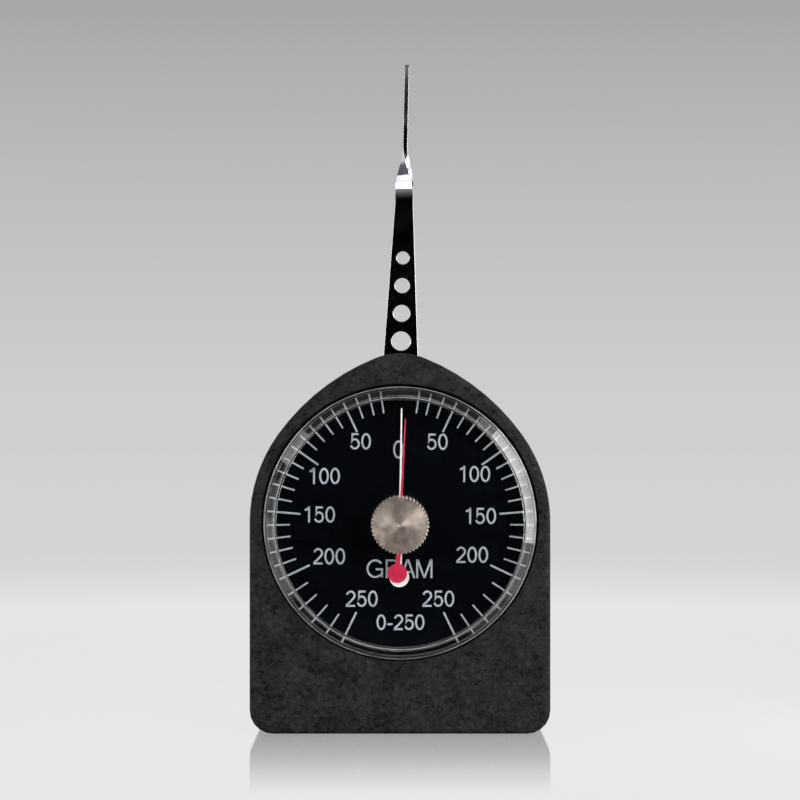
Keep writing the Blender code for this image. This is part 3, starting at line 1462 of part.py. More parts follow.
def make_movement_screws(material, axis):
    """Screws of the bridge, the front plate and the spring anchor."""
    for index, place in enumerate(pillar_places()):
        pan_screw(
            f"bridge_screw_{index + 1}",
            place,
            BRIDGE_SCREW_HEAD_RADIUS,
            BRIDGE_SCREW_HEAD_HEIGHT,
            BRIDGE_SCREW_RADIUS,
            BRIDGE_BACK,
            BRIDGE_SCREW_LENGTH,
            material,
            axis,
        )
    for index, place in enumerate(plate_screw_places()):
        pan_screw(
            f"plate_screw_{index + 1}",
            place,
            PLATE_SCREW_HEAD_RADIUS,
            PLATE_SCREW_HEAD_HEIGHT,
            PLATE_SCREW_RADIUS,
            PLATE_BACK,
            PLATE_SCREW_LENGTH,
            material,
            axis,
        )
    for index, place in enumerate(anchor_screw_places()):
        pan_screw(
            f"anchor_screw_{index + 1}",
            place,
            ANCHOR_SCREW_HEAD_RADIUS,
            ANCHOR_SCREW_HEAD_HEIGHT,
            ANCHOR_SCREW_RADIUS,
            BRIDGE_BACK,
            ANCHOR_SCREW_LENGTH,
            material,
            axis,
        )


def make_spring_anchor(material, axis):
    """Slotted block under the bridge that holds the leaf spring's lower end."""
    half_width = ANCHOR_WIDTH / 2
    bottom = anchor_bottom()
    top = bottom + ANCHOR_HEIGHT
    outline = [(-half_width, top), (half_width, top), (half_width, bottom), (-half_width, bottom)]
    front = SPRING_FRONT - ANCHOR_LIP
    back = BRIDGE_FRONT - FINE_GAP
    anchor = plate_piece("spring_anchor", outline, front, back, material, axis)
    slot_front = front - CUT_OVERRUN
    slot_back = SPRING_BACK + FINE_GAP
    cut_box(
        anchor,
        (0, world_depth((slot_front + slot_back) / 2), bottom + ANCHOR_HEIGHT / 2),
        (
            SPRING_THICKNESS + 2 * FINE_GAP,
            slot_back - slot_front,
            ANCHOR_HEIGHT + 2 * CUT_OVERRUN,
        ),
    )
    for place in anchor_screw_places():
        hole_front = BRIDGE_BACK - ANCHOR_SCREW_LENGTH
        drill(anchor, place, ANCHOR_SCREW_RADIUS + FINE_GAP, hole_front, back + CUT_OVERRUN)
    return anchor


def make_stop_pins(material, axis):
    """Two pins that limit the sector's swing."""
    profile = [
        (0, PLATE_FRONT),
        (STOP_PIN_RADIUS, PLATE_FRONT),
        (STOP_PIN_RADIUS, SECTOR_BACK),
        (0, SECTOR_BACK),
    ]
    for index, place in enumerate(stop_pin_places()):
        name = f"stop_pin_{index + 1}"
        turned_piece(name, profile, SMALL_SIDES, material, axis, place)


def make_arbor_bushes(name, place, pivot_radius, material, axis, front_radius=None):
    """A flanged bush in the front plate and one in the bridge."""
    front_bore = (front_radius or pivot_radius) + RUNNING_GAP
    front_profile = [
        (front_bore, PLATE_FRONT),
        (ARBOR_BUSH_RADIUS, PLATE_FRONT),
        (ARBOR_BUSH_RADIUS, PLATE_BACK + FINE_GAP),
        (ARBOR_BUSH_FLANGE_RADIUS, PLATE_BACK + FINE_GAP),
        (ARBOR_BUSH_FLANGE_RADIUS, FRONT_BUSH_BACK),
        (front_bore, FRONT_BUSH_BACK),
    ]
    rear_bore = pivot_radius + RUNNING_GAP
    rear_profile = [
        (rear_bore, REAR_BUSH_FRONT),
        (ARBOR_BUSH_FLANGE_RADIUS, REAR_BUSH_FRONT),
        (ARBOR_BUSH_FLANGE_RADIUS, BRIDGE_FRONT - FINE_GAP),
        (ARBOR_BUSH_RADIUS, BRIDGE_FRONT - FINE_GAP),
        (ARBOR_BUSH_RADIUS, BRIDGE_BACK),
        (rear_bore, BRIDGE_BACK),
    ]
    turned_piece(f"{name}_bush_front", front_profile, SMALL_SIDES, material, axis, place)
    turned_piece(f"{name}_bush_rear", rear_profile, SMALL_SIDES, material, axis, place)


# Assembly


def clear_scene():
    """Remove whatever the scene holds."""
    for old in list(bpy.data.objects):
        bpy.data.objects.remove(old, do_unlink=True)


def make_axis(name, height):
    """Empty on an axis that pieces are placed about."""
    axis = bpy.data.objects.new(name, None)
    bpy.context.scene.collection.objects.link(axis)
    axis.location.z = height
    return axis


def main():
    """Build every piece on its axis."""
    clear_scene()
    case_axis = make_axis("case_axis", DIAL_HEIGHT)
    lever_axis = make_axis("lever_axis", PIVOT_HEIGHT)
    pointer_axis = make_axis("pointer_axis", DIAL_HEIGHT)
    peak_axis = make_axis("peak_axis", DIAL_HEIGHT)

    paint = textured_case_paint()
    steel = turned_steel()
    brass = turned_brass()
    nickel = brushed_nickel()

    make_case_shell(paint, case_axis)
    make_rear_cover(paint, case_axis)
    make_cover_screws(steel, case_axis)
    make_dial_plate(black_dial_enamel(), case_axis)
    make_crystal_gasket(black_rubber(), case_axis)
    make_crystal(clear_acrylic(), case_axis)
    make_spindle_bush(nickel, case_axis)
    make_bush_nut(brass, case_axis)
    make_friction_washer(steel, case_axis)

    make_movement_plate(brass, case_axis)
    make_movement_bridge(brass, case_axis)
    make_pillars(brass, case_axis)
    make_movement_screws(steel, case_axis)
    make_spring_anchor(brass, case_axis)
    make_stop_pins(steel, case_axis)
    make_arbor_bushes("lever", (0, CENTRE_DISTANCE), LEVER_PIVOT_RADIUS, brass, case_axis)
    make_arbor_bushes(
        "pointer", (0, 0), POINTER_PIVOT_RADIUS, brass, case_axis, POINTER_STEM_RADIUS
    )
    make_hairspring_stud(steel, case_axis)
    make_hairspring(steel, case_axis)

    make_lever_arm(polished_steel(), lever_axis)
    make_lever_arbor(steel, lever_axis)
    make_lever_hub(brass, lever_axis)
    make_lever_rivets(steel, lever_axis)
    make_sector_gear(brass, lever_axis)
    make_sector_hub(brass, lever_axis)
    make_measuring_spring(steel, lever_axis)

    make_pointer_arbor(steel, pointer_axis)
    make_pinion(steel, pointer_axis)
    make_hairspring_collet(brass, pointer_axis)
    make_pointer_hub(brass, pointer_axis)
    make_drag_pin(steel, pointer_axis)
    make_main_pointer(white_lacquer(), pointer_axis)

    make_reset_knob(nickel, peak_axis)
    make_knob_spindle(steel, peak_axis)
    make_peak_boss(brass, peak_axis)
    make_drag_dog(brass, peak_axis)
    make_peak_pointer(crimson_lacquer(), peak_axis)


main()
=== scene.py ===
"""Looks of a lever dial force gauge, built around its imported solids.

The dial faces -Y, the lever stands up along +Z, and the origin lies under the middle of the case.
"""

import json
import logging
import math
from collections.abc import Iterable, Sequence
from dataclasses import dataclass
from enum import Enum

import bmesh
import bpy
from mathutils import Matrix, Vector

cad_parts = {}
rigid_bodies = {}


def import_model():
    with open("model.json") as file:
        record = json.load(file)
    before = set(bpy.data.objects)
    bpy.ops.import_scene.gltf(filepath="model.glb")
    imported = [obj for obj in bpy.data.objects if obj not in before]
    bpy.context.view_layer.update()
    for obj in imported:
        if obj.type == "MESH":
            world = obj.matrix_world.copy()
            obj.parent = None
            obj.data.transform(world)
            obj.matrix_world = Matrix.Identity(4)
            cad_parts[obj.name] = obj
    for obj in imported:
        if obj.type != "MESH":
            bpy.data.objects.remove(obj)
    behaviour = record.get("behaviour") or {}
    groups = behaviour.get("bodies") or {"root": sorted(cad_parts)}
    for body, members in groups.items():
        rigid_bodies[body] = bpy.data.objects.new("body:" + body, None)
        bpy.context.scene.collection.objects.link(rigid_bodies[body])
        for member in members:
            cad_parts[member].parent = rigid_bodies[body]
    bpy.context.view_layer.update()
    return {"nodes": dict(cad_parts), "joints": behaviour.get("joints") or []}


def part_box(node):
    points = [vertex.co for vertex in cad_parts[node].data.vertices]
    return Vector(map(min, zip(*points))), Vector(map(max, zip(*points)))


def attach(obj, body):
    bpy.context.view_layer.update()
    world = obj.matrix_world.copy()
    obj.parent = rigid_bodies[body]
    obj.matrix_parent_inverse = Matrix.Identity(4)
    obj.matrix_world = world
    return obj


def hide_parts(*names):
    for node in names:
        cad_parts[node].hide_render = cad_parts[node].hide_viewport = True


MM = 0.001
# Height of the dial's axis, which the crystal, the knob and both pointers share.
DIAL_HEIGHT = 43.6 * MM
LOG = logging.getLogger("force_gauge")

Colour = tuple[float, float, float, float]
Flat = tuple[float, float]
Stops = tuple[tuple[float, str], ...]
Tree = bpy.types.NodeTree
Node = bpy.types.Node
Socket = bpy.types.NodeSocket
Nodes = dict[str, bpy.types.Object]


class Body(Enum):
    """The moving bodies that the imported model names."""

    CASE = "case"
    LEVER = "lever"
    POINTER = "pointer"
    PEAK = "peak"


class Slot(Enum):
    """The record's material slots, which the needles carry but nothing reads."""

    ACRYLIC = "crystal_acrylic"
    BLADE = "arm_steel"
    NICKEL = "knob_nickel"
    WHITE = "white_lacquer"
    CRIMSON = "crimson_lacquer"


def linear(code: str) -> Colour:
    """Turns an sRGB hex colour into linear values.

    Args:
        code: The colour as #RRGGBB.

    Returns:
        Red, green, blue and an alpha of one.
    """
    channels = [int(code[place : place + 2], 16) / 255 for place in (1, 3, 5)]
    lit = [c / 12.92 if c <= 0.04045 else ((c + 0.055) / 1.055) ** 2.4 for c in channels]
    return (lit[0], lit[1], lit[2], 1.0)


def cells(size_mm: float) -> float:
    """Texture scale at which one cell of a pattern has this size in millimetres."""
    return 1 / (size_mm * MM)


def add_node(
    tree: Tree,
    kind: str,
    inputs: dict[str | int, object] | None = None,
    stops: Sequence[tuple[float, str]] = (),
    **settings: object,
) -> Node:
    """Adds one node with its settings and links.

    Args:
        tree: The node tree to add to.
        kind: The node's type name.
        inputs: A value or an output socket for each input, by name or place.
        stops: Positions and hex colours, for a colour ramp.
        settings: Attributes of the node.

    Returns:
        The new node.
    """
    node = tree.nodes.new(kind)
    for name, value in settings.items():
        setattr(node, name, value)
    for place, (position, code) in enumerate(stops):
        elements = node.color_ramp.elements
        element = elements[place] if place < 2 else elements.new(position)
        element.position = position
        element.color = linear(code)
    for key, value in (inputs or {}).items():
        if isinstance(value, Socket):
            tree.links.new(value, node.inputs[key])
        else:
            node.inputs[key].default_value = value
    return node


@dataclass(frozen=True)
class Finish:
    """What every finish has: a name, a base colour and how the surface answers light."""

    name: str
    colour: str
    roughness: float
    metallic: float = 0.0

    # The middle of a noise pattern, over which tones and numbers are spread.
    TONE_LIMITS = (0.38, 0.62)
    NUMBER_LIMITS = (0.3, 0.7)

    def material(self) -> bpy.types.Material:
        """Builds the material once, and hands the same one back after that.

        Returns:
            The material.
        """
        known = bpy.data.materials.get(self.name)
        if known:
            return known
        material = bpy.data.materials.new(self.name)
        material.use_nodes = True
        shader = material.node_tree.nodes["Principled BSDF"]
        shader.inputs["Base Color"].default_value = linear(self.colour)
        shader.inputs["Roughness"].default_value = self.roughness
        shader.inputs["Metallic"].default_value = self.metallic
        self.detail(material.node_tree, shader)
        return material

    def detail(self, tree: Tree, shader: Node) -> None:
        """Adds the surface's own pattern.

        Args:
            tree: The material's node tree.
            shader: Its Principled shader.
        """
        raise NotImplementedError

    def tone(self, tree: Tree, pattern: Socket, shade: str, light: str) -> Socket:
        """Spreads two colours over a pattern.

        Args:
            tree: The material's node tree.
            pattern: The pattern, from 0 to 1.
            shade: The colour of its low parts.
            light: The colour of its high parts.

        Returns:
            The mixed colour.
        """
        stops = tuple(zip(self.TONE_LIMITS, (shade, light)))
        return add_node(tree, "ShaderNodeValToRGB", {"Fac": pattern}, stops).outputs["Color"]

    def spread(self, tree: Tree, pattern: Socket, low: float, high: float) -> Socket:
        """Spreads a number over the middle of a pattern.

        Args:
            tree: The material's node tree.
            pattern: The pattern, from 0 to 1.
            low: The number at its low parts.
            high: The number at its high parts.

        Returns:
            The number.
        """
        start, end = self.NUMBER_LIMITS
        inputs = {"Value": pattern, "From Min": start, "From Max": end, "To Min": low, "To Max": high}
        return add_node(tree, "ShaderNodeMapRange", inputs).outputs["Result"]


@dataclass(frozen=True)
class WrinklePaint(Finish):
    """Black wrinkle-finish enamel, sprayed on a die-cast case and baked until it shrivels."""

    name: str = "wrinkle_enamel"
    colour: str = "#1D1D1E"
    roughness: float = 0.6
    specular: float = 0.15
    shade: str = "#0A0909"
    light: str = "#333131"
    wrinkle_mm: float = 1.1
    grit_mm: float = 0.8
    blotch_mm: float = 5.0
    relief_mm: float = 0.45
    fold_distortion: float = 0.8
    crease_fall: float = 4.0
    grit_relief: float = 0.55
    grit_share: float = 0.4
    fold_share: float = 0.45
    sheen_limits: Flat = (0.45, 0.75)

    def detail(self, tree: Tree, shader: Node) -> None:
        """Adds shrivelled ridges, fine grit and blotches of depth.

        Args:
            tree: The material's node tree.
            shader: Its Principled shader.
        """
        where = add_node(tree, "ShaderNodeTexCoord").outputs["Object"]
        patterns = []
        for size_mm, detail, distortion in (
            (self.wrinkle_mm, 4.0, self.fold_distortion),
            (self.grit_mm, 2.0, 0.0),
            (self.blotch_mm, 3.0, 0.0),
        ):
            field = {"Vector": where, "Scale": cells(size_mm), "Detail": detail, "Distortion": distortion}
            patterns.append(add_node(tree, "ShaderNodeTexNoise", field).outputs["Fac"])
        fold, grit, blotch = patterns
        # A ridge stands where the noise crosses its middle, which gives the crinkled net.
        offset = add_node(tree, "ShaderNodeMath", {0: fold, 1: 0.5}, operation="SUBTRACT")
        crease = add_node(tree, "ShaderNodeMath", {0: offset.outputs[0]}, operation="ABSOLUTE")
        fall = {0: crease.outputs[0], 1: -self.crease_fall, 2: 1.0}
        ridge = add_node(tree, "ShaderNodeMath", fall, operation="MULTIPLY_ADD").outputs[0]
        rough = {0: grit, 1: self.grit_relief, 2: ridge}
        height = add_node(tree, "ShaderNodeMath", rough, operation="MULTIPLY_ADD").outputs[0]
        mixed = {0: self.grit_share, 2: blotch, 3: grit}
        speckle = add_node(tree, "ShaderNodeMix", mixed).outputs[0]
        folded = {0: self.fold_share, 2: speckle, 3: fold}
        pitted = add_node(tree, "ShaderNodeMix", folded).outputs[0]
        tree.links.new(self.tone(tree, pitted, self.shade, self.light), shader.inputs["Base Color"])
        tree.links.new(self.spread(tree, fold, *self.sheen_limits), shader.inputs["Roughness"])
        relief = {"Height": height, "Distance": self.relief_mm * MM, "Strength": 1.0}
        bump = add_node(tree, "ShaderNodeBump", relief)
        tree.links.new(bump.outputs["Normal"], shader.inputs["Normal"])
        shader.inputs["Specular IOR Level"].default_value = self.specular


@dataclass(frozen=True)
class PatchedSurface(Finish):
    """A surface whose tone and gloss wander in patches over a fine grain."""

    shade: str = "#000000"
    light: str = "#FFFFFF"
    patch_mm: float = 1.2
    grain_mm: float = 0.35
    grain_detail: float = 1.0
    grain_relief_mm: float = 0.002
    gloss_spread: float = 0.08
    least_roughness: float = 0.02

    def detail(self, tree: Tree, shader: Node) -> None:
        """Adds the patches and the grain's relief.

        Args:
            tree: The material's node tree.
            shader: Its Principled shader.
        """
        where = add_node(tree, "ShaderNodeTexCoord").outputs["Object"]
        field = {"Vector": where, "Scale": cells(self.patch_mm), "Detail": 3.0}
        patch = add_node(tree, "ShaderNodeTexNoise", field).outputs["Fac"]
        tree.links.new(self.tone(tree, patch, self.shade, self.light), shader.inputs["Base Color"])
        low = max(self.roughness - self.gloss_spread, self.least_roughness)
        high = self.roughness + self.gloss_spread
        tree.links.new(self.spread(tree, patch, low, high), shader.inputs["Roughness"])
        grain_field = {"Vector": where, "Scale": cells(self.grain_mm), "Detail": self.grain_detail}
        grain = add_node(tree, "ShaderNodeTexNoise", grain_field).outputs["Fac"]
        relief = {"Height": grain, "Distance": self.grain_relief_mm * MM}
        bump = add_node(tree, "ShaderNodeBump", relief)
        tree.links.new(bump.outputs["Normal"], shader.inputs["Normal"])


@dataclass(frozen=True)
class SmoothCoat(PatchedSurface):
    """A sprayed or printed coat: enamel, ink or lacquer, with the faint orange peel of spraying."""

    clear_coat: float = 0.0
    specular: float = 0.5

    def detail(self, tree: Tree, shader: Node) -> None:
        """Adds mottling, orange peel and the strength of the shine.

        Args:
            tree: The material's node tree.
            shader: Its Principled shader.
        """
        super().detail(tree, shader)
        shader.inputs["Coat Weight"].default_value = self.clear_coat
        shader.inputs["Specular IOR Level"].default_value = self.specular


@dataclass(frozen=True)
class CastAcrylic(Finish):
    """Clear cast acrylic, turned and polished, with the hairlines that a pocket gives it."""

    name: str = "cast_acrylic"
    colour: str = "#FBFDFC"
    roughness: float = 0.01
    ior: float = 1.49
    hairline_mm: float = 0.5
    hairline_length_mm: float = 9.0
    hairline_lean: float = 0.6
    hairline_limits: Flat = (0.6, 0.8)
    hairline_haze: float = 0.06
    # Painted highlight lines: thin rings at these radii are made partly white, so the lamps show pale
    # lines where the crystal's edges would glint.
    worn_radii_mm: tuple[float, ...] = (25.72, 27.86)
    worn_width_mm: float = 0.24
    wear: float = 0.28
    wear_spread: Flat = (0.4, 1.6)
    wear_patch_mm: float = 4.0
    face_radius: float = 25.6 * MM
    wall_passes: str = "#6A6A6A"

    def radius(self, tree: Tree, where: Socket) -> Socket:
        """Measures how far each point lies from the dial's axis.

        Args:
            tree: The material's node tree.
            where: Position in the frame.

        Returns:
            The distance in metres.
        """
        centred = {0: where, 1: (0.0, 0.0, DIAL_HEIGHT)}
        about = add_node(tree, "ShaderNodeVectorMath", centred, operation="SUBTRACT").outputs[0]
        flat = {0: about, 1: (1.0, 0.0, 1.0)}
        plane = add_node(tree, "ShaderNodeVectorMath", flat, operation="MULTIPLY").outputs[0]
        length = add_node(tree, "ShaderNodeVectorMath", {0: plane}, operation="LENGTH")
        return length.outputs["Value"]

    def cast_shadow(self, tree: Tree, shader: Node, radius: Socket) -> None:
        """Lets the lamps through the clear face, and holds part of them back at the wall.

        Args:
            tree: The material's node tree.
            shader: Its Principled shader.
            radius: Distance from the dial's axis.
        """
        edge = {0: radius, 1: self.face_radius}
        past = add_node(tree, "ShaderNodeMath", edge, operation="GREATER_THAN").outputs[0]
        passes = {0: past, 6: linear("#FFFFFF"), 7: linear(self.wall_passes)}
        tint = add_node(tree, "ShaderNodeMix", passes, data_type="RGBA").outputs[2]
        through = add_node(tree, "ShaderNodeBsdfTransparent", {"Color": tint}).outputs[0]
        shadow = add_node(tree, "ShaderNodeLightPath").outputs["Is Shadow Ray"]
        surface = add_node(tree, "ShaderNodeMixShader", {0: shadow, 1: shader.outputs[0], 2: through})
        tree.links.new(surface.outputs[0], tree.nodes["Material Output"].inputs["Surface"])

    def worn_edges(self, tree: Tree, where: Socket, radius: Socket) -> Socket:
        """Finds the thin rings at the edges where highlight lines are painted white.

        Args:
            tree: The material's node tree.
            where: Position in the frame.
            radius: Distance from the dial's axis.

        Returns:
            How strongly each point is painted white, from 0 to the glint strength.
        """
        field = {"Vector": where, "Scale": cells(self.wear_patch_mm), "Detail": 6.0}
        patch = add_node(tree, "ShaderNodeTexNoise", field).outputs["Fac"]
        strength = self.spread(tree, patch, *(self.wear * share for share in self.wear_spread))
        found: Socket | float = 0.0
        for glint in self.worn_radii_mm:
            off = add_node(tree, "ShaderNodeMath", {0: radius, 1: glint * MM}, operation="SUBTRACT")
            gap = add_node(tree, "ShaderNodeMath", {0: off.outputs[0]}, operation="ABSOLUTE")
            reach = self.worn_width_mm * MM / 2
            band = {"Value": gap.outputs[0], "From Max": reach, "To Min": 1.0, "To Max": 0.0}
            line = add_node(tree, "ShaderNodeMapRange", band).outputs["Result"]
            both = {0: line, 1: found}
            found = add_node(tree, "ShaderNodeMath", both, operation="ADD").outputs[0]
        glint_amount = {0: found, 1: strength}
        return add_node(tree, "ShaderNodeMath", glint_amount, operation="MULTIPLY").outputs[0]

    def detail(self, tree: Tree, shader: Node) -> None:
        """Adds clearness, painted highlight lines at the edges and faint hairline scratches in its gloss.

        Args:
            tree: The material's node tree.
            shader: Its Principled shader.
        """
        shader.inputs["IOR"].default_value = self.ior
        where = add_node(tree, "ShaderNodeTexCoord").outputs["Object"]
        radius = self.radius(tree, where)
        self.cast_shadow(tree, shader, radius)
        # Painted highlight: the rings lose clearness and show the white base colour under the lamps.
        glint = {0: 1.0, 1: self.worn_edges(tree, where, radius)}
        clear = add_node(tree, "ShaderNodeMath", glint, operation="SUBTRACT", use_clamp=True)
        tree.links.new(clear.outputs[0], shader.inputs["Transmission Weight"])
        stretch = (1 / self.hairline_length_mm, 1 / self.hairline_length_mm, 1 / self.hairline_mm)
        turned = {"Vector": where, "Rotation": (0.0, self.hairline_lean, 0.0), "Scale": stretch}
        drawn = add_node(tree, "ShaderNodeMapping", turned).outputs["Vector"]
        field = {"Vector": drawn, "Scale": cells(1.0), "Detail": 4.0, "Roughness": 0.7}
        hairline = add_node(tree, "ShaderNodeTexNoise", field).outputs["Fac"]
        start, end = self.hairline_limits
        faint = {"Value": hairline, "From Min": start, "From Max": end, "To Max": self.hairline_haze}
        haze = add_node(tree, "ShaderNodeMapRange", faint).outputs["Result"]
        tree.links.new(haze, shader.inputs["Roughness"])


@dataclass(frozen=True)
class WorkedMetal(PatchedSurface):
    """A metal with the marks of how it was worked: drawn, turned or polished."""

    metallic: float = 1.0
    patch_mm: float = 2.5
    grain_mm: float = 0.12
    grain_detail: float = 2.0
    gloss_spread: float = 0.05
    anisotropy: float = 0.0
    # A quarter turn draws the shine across the tool marks.
    streak_turn: float = 0.25
    turned_about_y: bool = False

    def detail(self, tree: Tree, shader: Node) -> None:
        """Adds smudged gloss and tool marks, ringed about the axis on turned work.

        Args:
            tree: The material's node tree.
            shader: Its Principled shader.
        """
        super().detail(tree, shader)
        shader.inputs["Anisotropic"].default_value = self.anisotropy
        shader.inputs["Anisotropic Rotation"].default_value = self.streak_turn
        if self.turned_about_y:
            tangent = add_node(tree, "ShaderNodeTangent", direction_type="RADIAL", axis="Y")
            tree.links.new(tangent.outputs["Tangent"], shader.inputs["Tangent"])


# Wrinkle enamel: a dark, matt crinkle that breaks the light into fine grain.
WRINKLE_ENAMEL = WrinklePaint()
# Stoved enamel on the dial's sheet: near black, with a satin gloss that keeps it deep.
DIAL_ENAMEL = SmoothCoat(
    "stoved_dial_enamel", "#020306", 0.22, shade="#010205", light="#030508", specular=0.12,
    gloss_spread=0.015,
)
# Screen ink: a flat pale grey film, a little uneven where the squeegee thinned it.
SCREEN_INK = SmoothCoat(
    "screen_ink", "#989DA5", 0.6, shade="#8E939B", light="#A2A7AF", patch_mm=0.5
)
# White lacquer on the needle: clean and smooth with a soft shine.
WHITE_LACQUER = SmoothCoat(
    "white_needle_lacquer", "#EEECEA", 0.35, shade="#E8E6E4", light="#F4F2F0", clear_coat=0.2
)
# Crimson lacquer on the peak needle: strong and saturated, glossy where it pools.
CRIMSON_LACQUER = SmoothCoat(
    "crimson_needle_lacquer", "#B20E3C", 0.35, shade="#AB0B38", light="#BA1341", clear_coat=0.3
)
# Moulded nitrile rubber: dull black, with hardly any shine.
GASKET_RUBBER = SmoothCoat(
    "gasket_rubber", "#101011", 0.8, shade="#0C0C0D", light="#161617", grain_mm=0.2, specular=0.3
)
# Cast acrylic: clear, with bright shoulders and pale highlight lines painted at its edges.
CAST_ACRYLIC = CastAcrylic()
# Hard-polished, nickel-plated spring steel: a near mirror, hazed by handling.
BLADE_STEEL = WorkedMetal(
    "polished_plated_steel", "#C4C7CC", 0.06, shade="#BABEC4", light="#D0D3D8",
    patch_mm=4.0, gloss_spread=0.03, grain_mm=0.4, grain_relief_mm=0.0004,
)
# Free-cutting steel off the lathe: grey, with soft streaked shine.
TURNED_STEEL = WorkedMetal(
    "turned_steel", "#8E9094", 0.3, shade="#83868A", light="#9B9DA1", anisotropy=0.3
)
# Nickel plate over a faced brass knob: warm grey, and the facing rings fan the light.
KNOB_NICKEL = WorkedMetal(
    "faced_nickel_plate", "#B8AA9F", 0.40, shade="#B1A297", light="#C1B3A8",
    patch_mm=1.6, anisotropy=0.7, turned_about_y=True, grain_relief_mm=0.003,
)
# Turned brass: warm yellow, with the lathe's soft streaks.
TURNED_BRASS = WorkedMetal(
    "turned_brass", "#C79A4A", 0.28, shade="#B98B3C", light="#D3A95C", anisotropy=0.3
)
# Spring steel, tempered blue: dark, with a blue sheen.
BLUED_SPRING = WorkedMetal(
    "blued_spring_steel", "#3B4A66", 0.25, shade="#2F3D58", light="#4A5A78"
)


class Solid:
    """A closed mesh under construction, with the operations that the gauge's pieces need."""

    def __init__(self) -> None:
        """Starts with an empty mesh."""
        self.mesh = bmesh.new()

    def skin(self, rows: Sequence[Sequence[Vector]], ring: bool = False) -> None:
        """Skins a row of closed loops, where a loop of one point closes to it.

        Args:
            rows: The loops in order. Loops of more than one point have equal counts.
            ring: Joins the last loop to the first instead of capping the ends.
        """
        made = [[self.mesh.verts.new(point) for point in row] for row in rows]
        following = made[1:] + made[:1] if ring else made[1:]
        for near, far in zip(made, following):
            count = max(len(near), len(far))
            for place in range(count):
                after = (place + 1) % count
                corners = [near[place % len(near)], near[after % len(near)]]
                corners += [far[after % len(far)], far[place % len(far)]]
                self.mesh.faces.new(list(dict.fromkeys(corners)))
        if ring:
            return
        for end in (made[0], made[-1]):
            if len(end) > 2:
                self.mesh.faces.new(end)

    def turn(self, profile: Sequence[Flat], sides: int, axis: Flat, ring: bool = False) -> None:
        """Turns a profile about an axis along Y.

        Args:
            profile: Radius and Y of each point.
            sides: How many sides go round.
            axis: X and Z of the axis.
            ring: Joins the profile's ends, for a piece with a bore.
        """
        x, z = axis
        rows = []
        for radius, y in profile:
            count = sides if radius else 1
            angles = [math.tau * (place + 0.5) / count for place in range(count)]
            rows.append(
                [Vector((x + radius * math.sin(a), y, z + radius * math.cos(a))) for a in angles]
            )
        self.skin(rows, ring)

    def slab(self, outline: Sequence[Flat], front: float, back: float) -> None:
        """Extrudes an outline in X and Z from one Y to another.

        Args:
            outline: The corners in order.
            front: Y of the front face.
            back: Y of the back face.
        """
        self.skin([[Vector((x, y, z)) for x, z in outline] for y in (front, back)])

    def data(self, name: str) -> bpy.types.Mesh:
        """Closes the construction.

        Args:
            name: The mesh's name.

        Returns:
            The mesh, with its faces pointing out.
        """
        bmesh.ops.recalc_face_normals(self.mesh, faces=self.mesh.faces)
        data = bpy.data.meshes.new(name)
        self.mesh.to_mesh(data)
        self.mesh.free()
        return data


def place_piece(
    name: str, data: bpy.types.Mesh, finish: Finish, body: Body, smooth_deg: float = 35
) -> bpy.types.Object:
    """Puts a mesh in the scene, dressed and riding on its body.

    Args:
        name: The piece's name.
        data: Its mesh.
        finish: Its finish.
        body: The body that it moves with.
        smooth_deg: Edges sharper than this stay sharp.

    Returns:
        The piece.
    """
    data.materials.clear()
    data.materials.append(finish.material())
    data.shade_smooth()
    data.set_sharp_from_angle(angle=math.radians(smooth_deg))
    piece = bpy.data.objects.new(name, data)
    bpy.context.scene.collection.objects.link(piece)
    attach(piece, body.value)
    LOG.info("%s: %d faces on %s", name, len(data.polygons), body.value)
    return piece


def carve(blank: bpy.types.Mesh, cutters: Solid) -> bpy.types.Mesh:
    """Cuts one closed mesh out of another.

    Args:
        blank: The mesh to cut.
        cutters: What to cut from it.

    Returns:
        The cut mesh.
    """
    scene = bpy.context.scene.collection.objects
    target = bpy.data.objects.new("blank", blank)
    tool = bpy.data.objects.new("cutters", cutters.data("cutters"))
    scene.link(target)
    scene.link(tool)
    cut = target.modifiers.new("cut", "BOOLEAN")
    cut.operation = "DIFFERENCE"
    cut.object = tool
    bpy.context.view_layer.update()
    seen = target.evaluated_get(bpy.context.evaluated_depsgraph_get())
    carved = bpy.data.meshes.new_from_object(seen)
    bpy.data.objects.remove(target)
    bpy.data.objects.remove(tool)
    return carved


def flatten_normals(piece: bpy.types.Object) -> None:
    """Keeps a piece's large faces flat in shading where its edges are rounded."""
    modifier = piece.modifiers.new("flat_faces", "WEIGHTED_NORMAL")
    modifier.keep_sharp = True


def dress(nodes: Nodes, names: Iterable[str], finish: Finish) -> None:
    """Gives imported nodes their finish.

    Args:
        nodes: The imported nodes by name.
        names: Those to dress.
        finish: Their finish.
    """
    for name in names:
        nodes[name].material_slots[0].material = finish.material()
        LOG.info("%s: %s", name, finish.name)


def bow(centre: Flat, radii: Flat, start_deg: float, end_deg: float, steps: int = 14) -> list[Flat]:
    """Points along an ellipse.

    Args:
        centre: Its centre.
        radii: Its half width and half height.
        start_deg: First angle, anticlockwise from the right.
        end_deg: Last angle.
        steps: How many stretches lie between them.

    Returns:
        The points.
    """
    angles = [math.radians(start_deg + (end_deg - start_deg) * n / steps) for n in range(steps + 1)]
    return [(centre[0] + radii[0] * math.cos(a), centre[1] + radii[1] * math.sin(a)) for a in angles]


def eased(corners: Sequence[Flat], reach: float, steps: int = 4) -> list[Flat]:
    """Rounds the inner corners of an open line.

    Args:
        corners: The line's corners in order.
        reach: How far from each corner its rounding starts.
        steps: How many stretches make one rounding.

    Returns:
        The points of the rounded line.
    """
    points = [corners[0]]
    for before, corner, after in zip(corners, corners[1:], corners[2:]):
        middle = Vector(corner)
        start = middle + (Vector(before) - middle).normalized() * reach
        end = middle + (Vector(after) - middle).normalized() * reach
        for step in range(steps + 1):
            share = step / steps
            spot = start * (1 - share) ** 2 + middle * 2 * share * (1 - share) + end * share**2
            points.append((spot.x, spot.y))
    points.append(corners[-1])
    return points


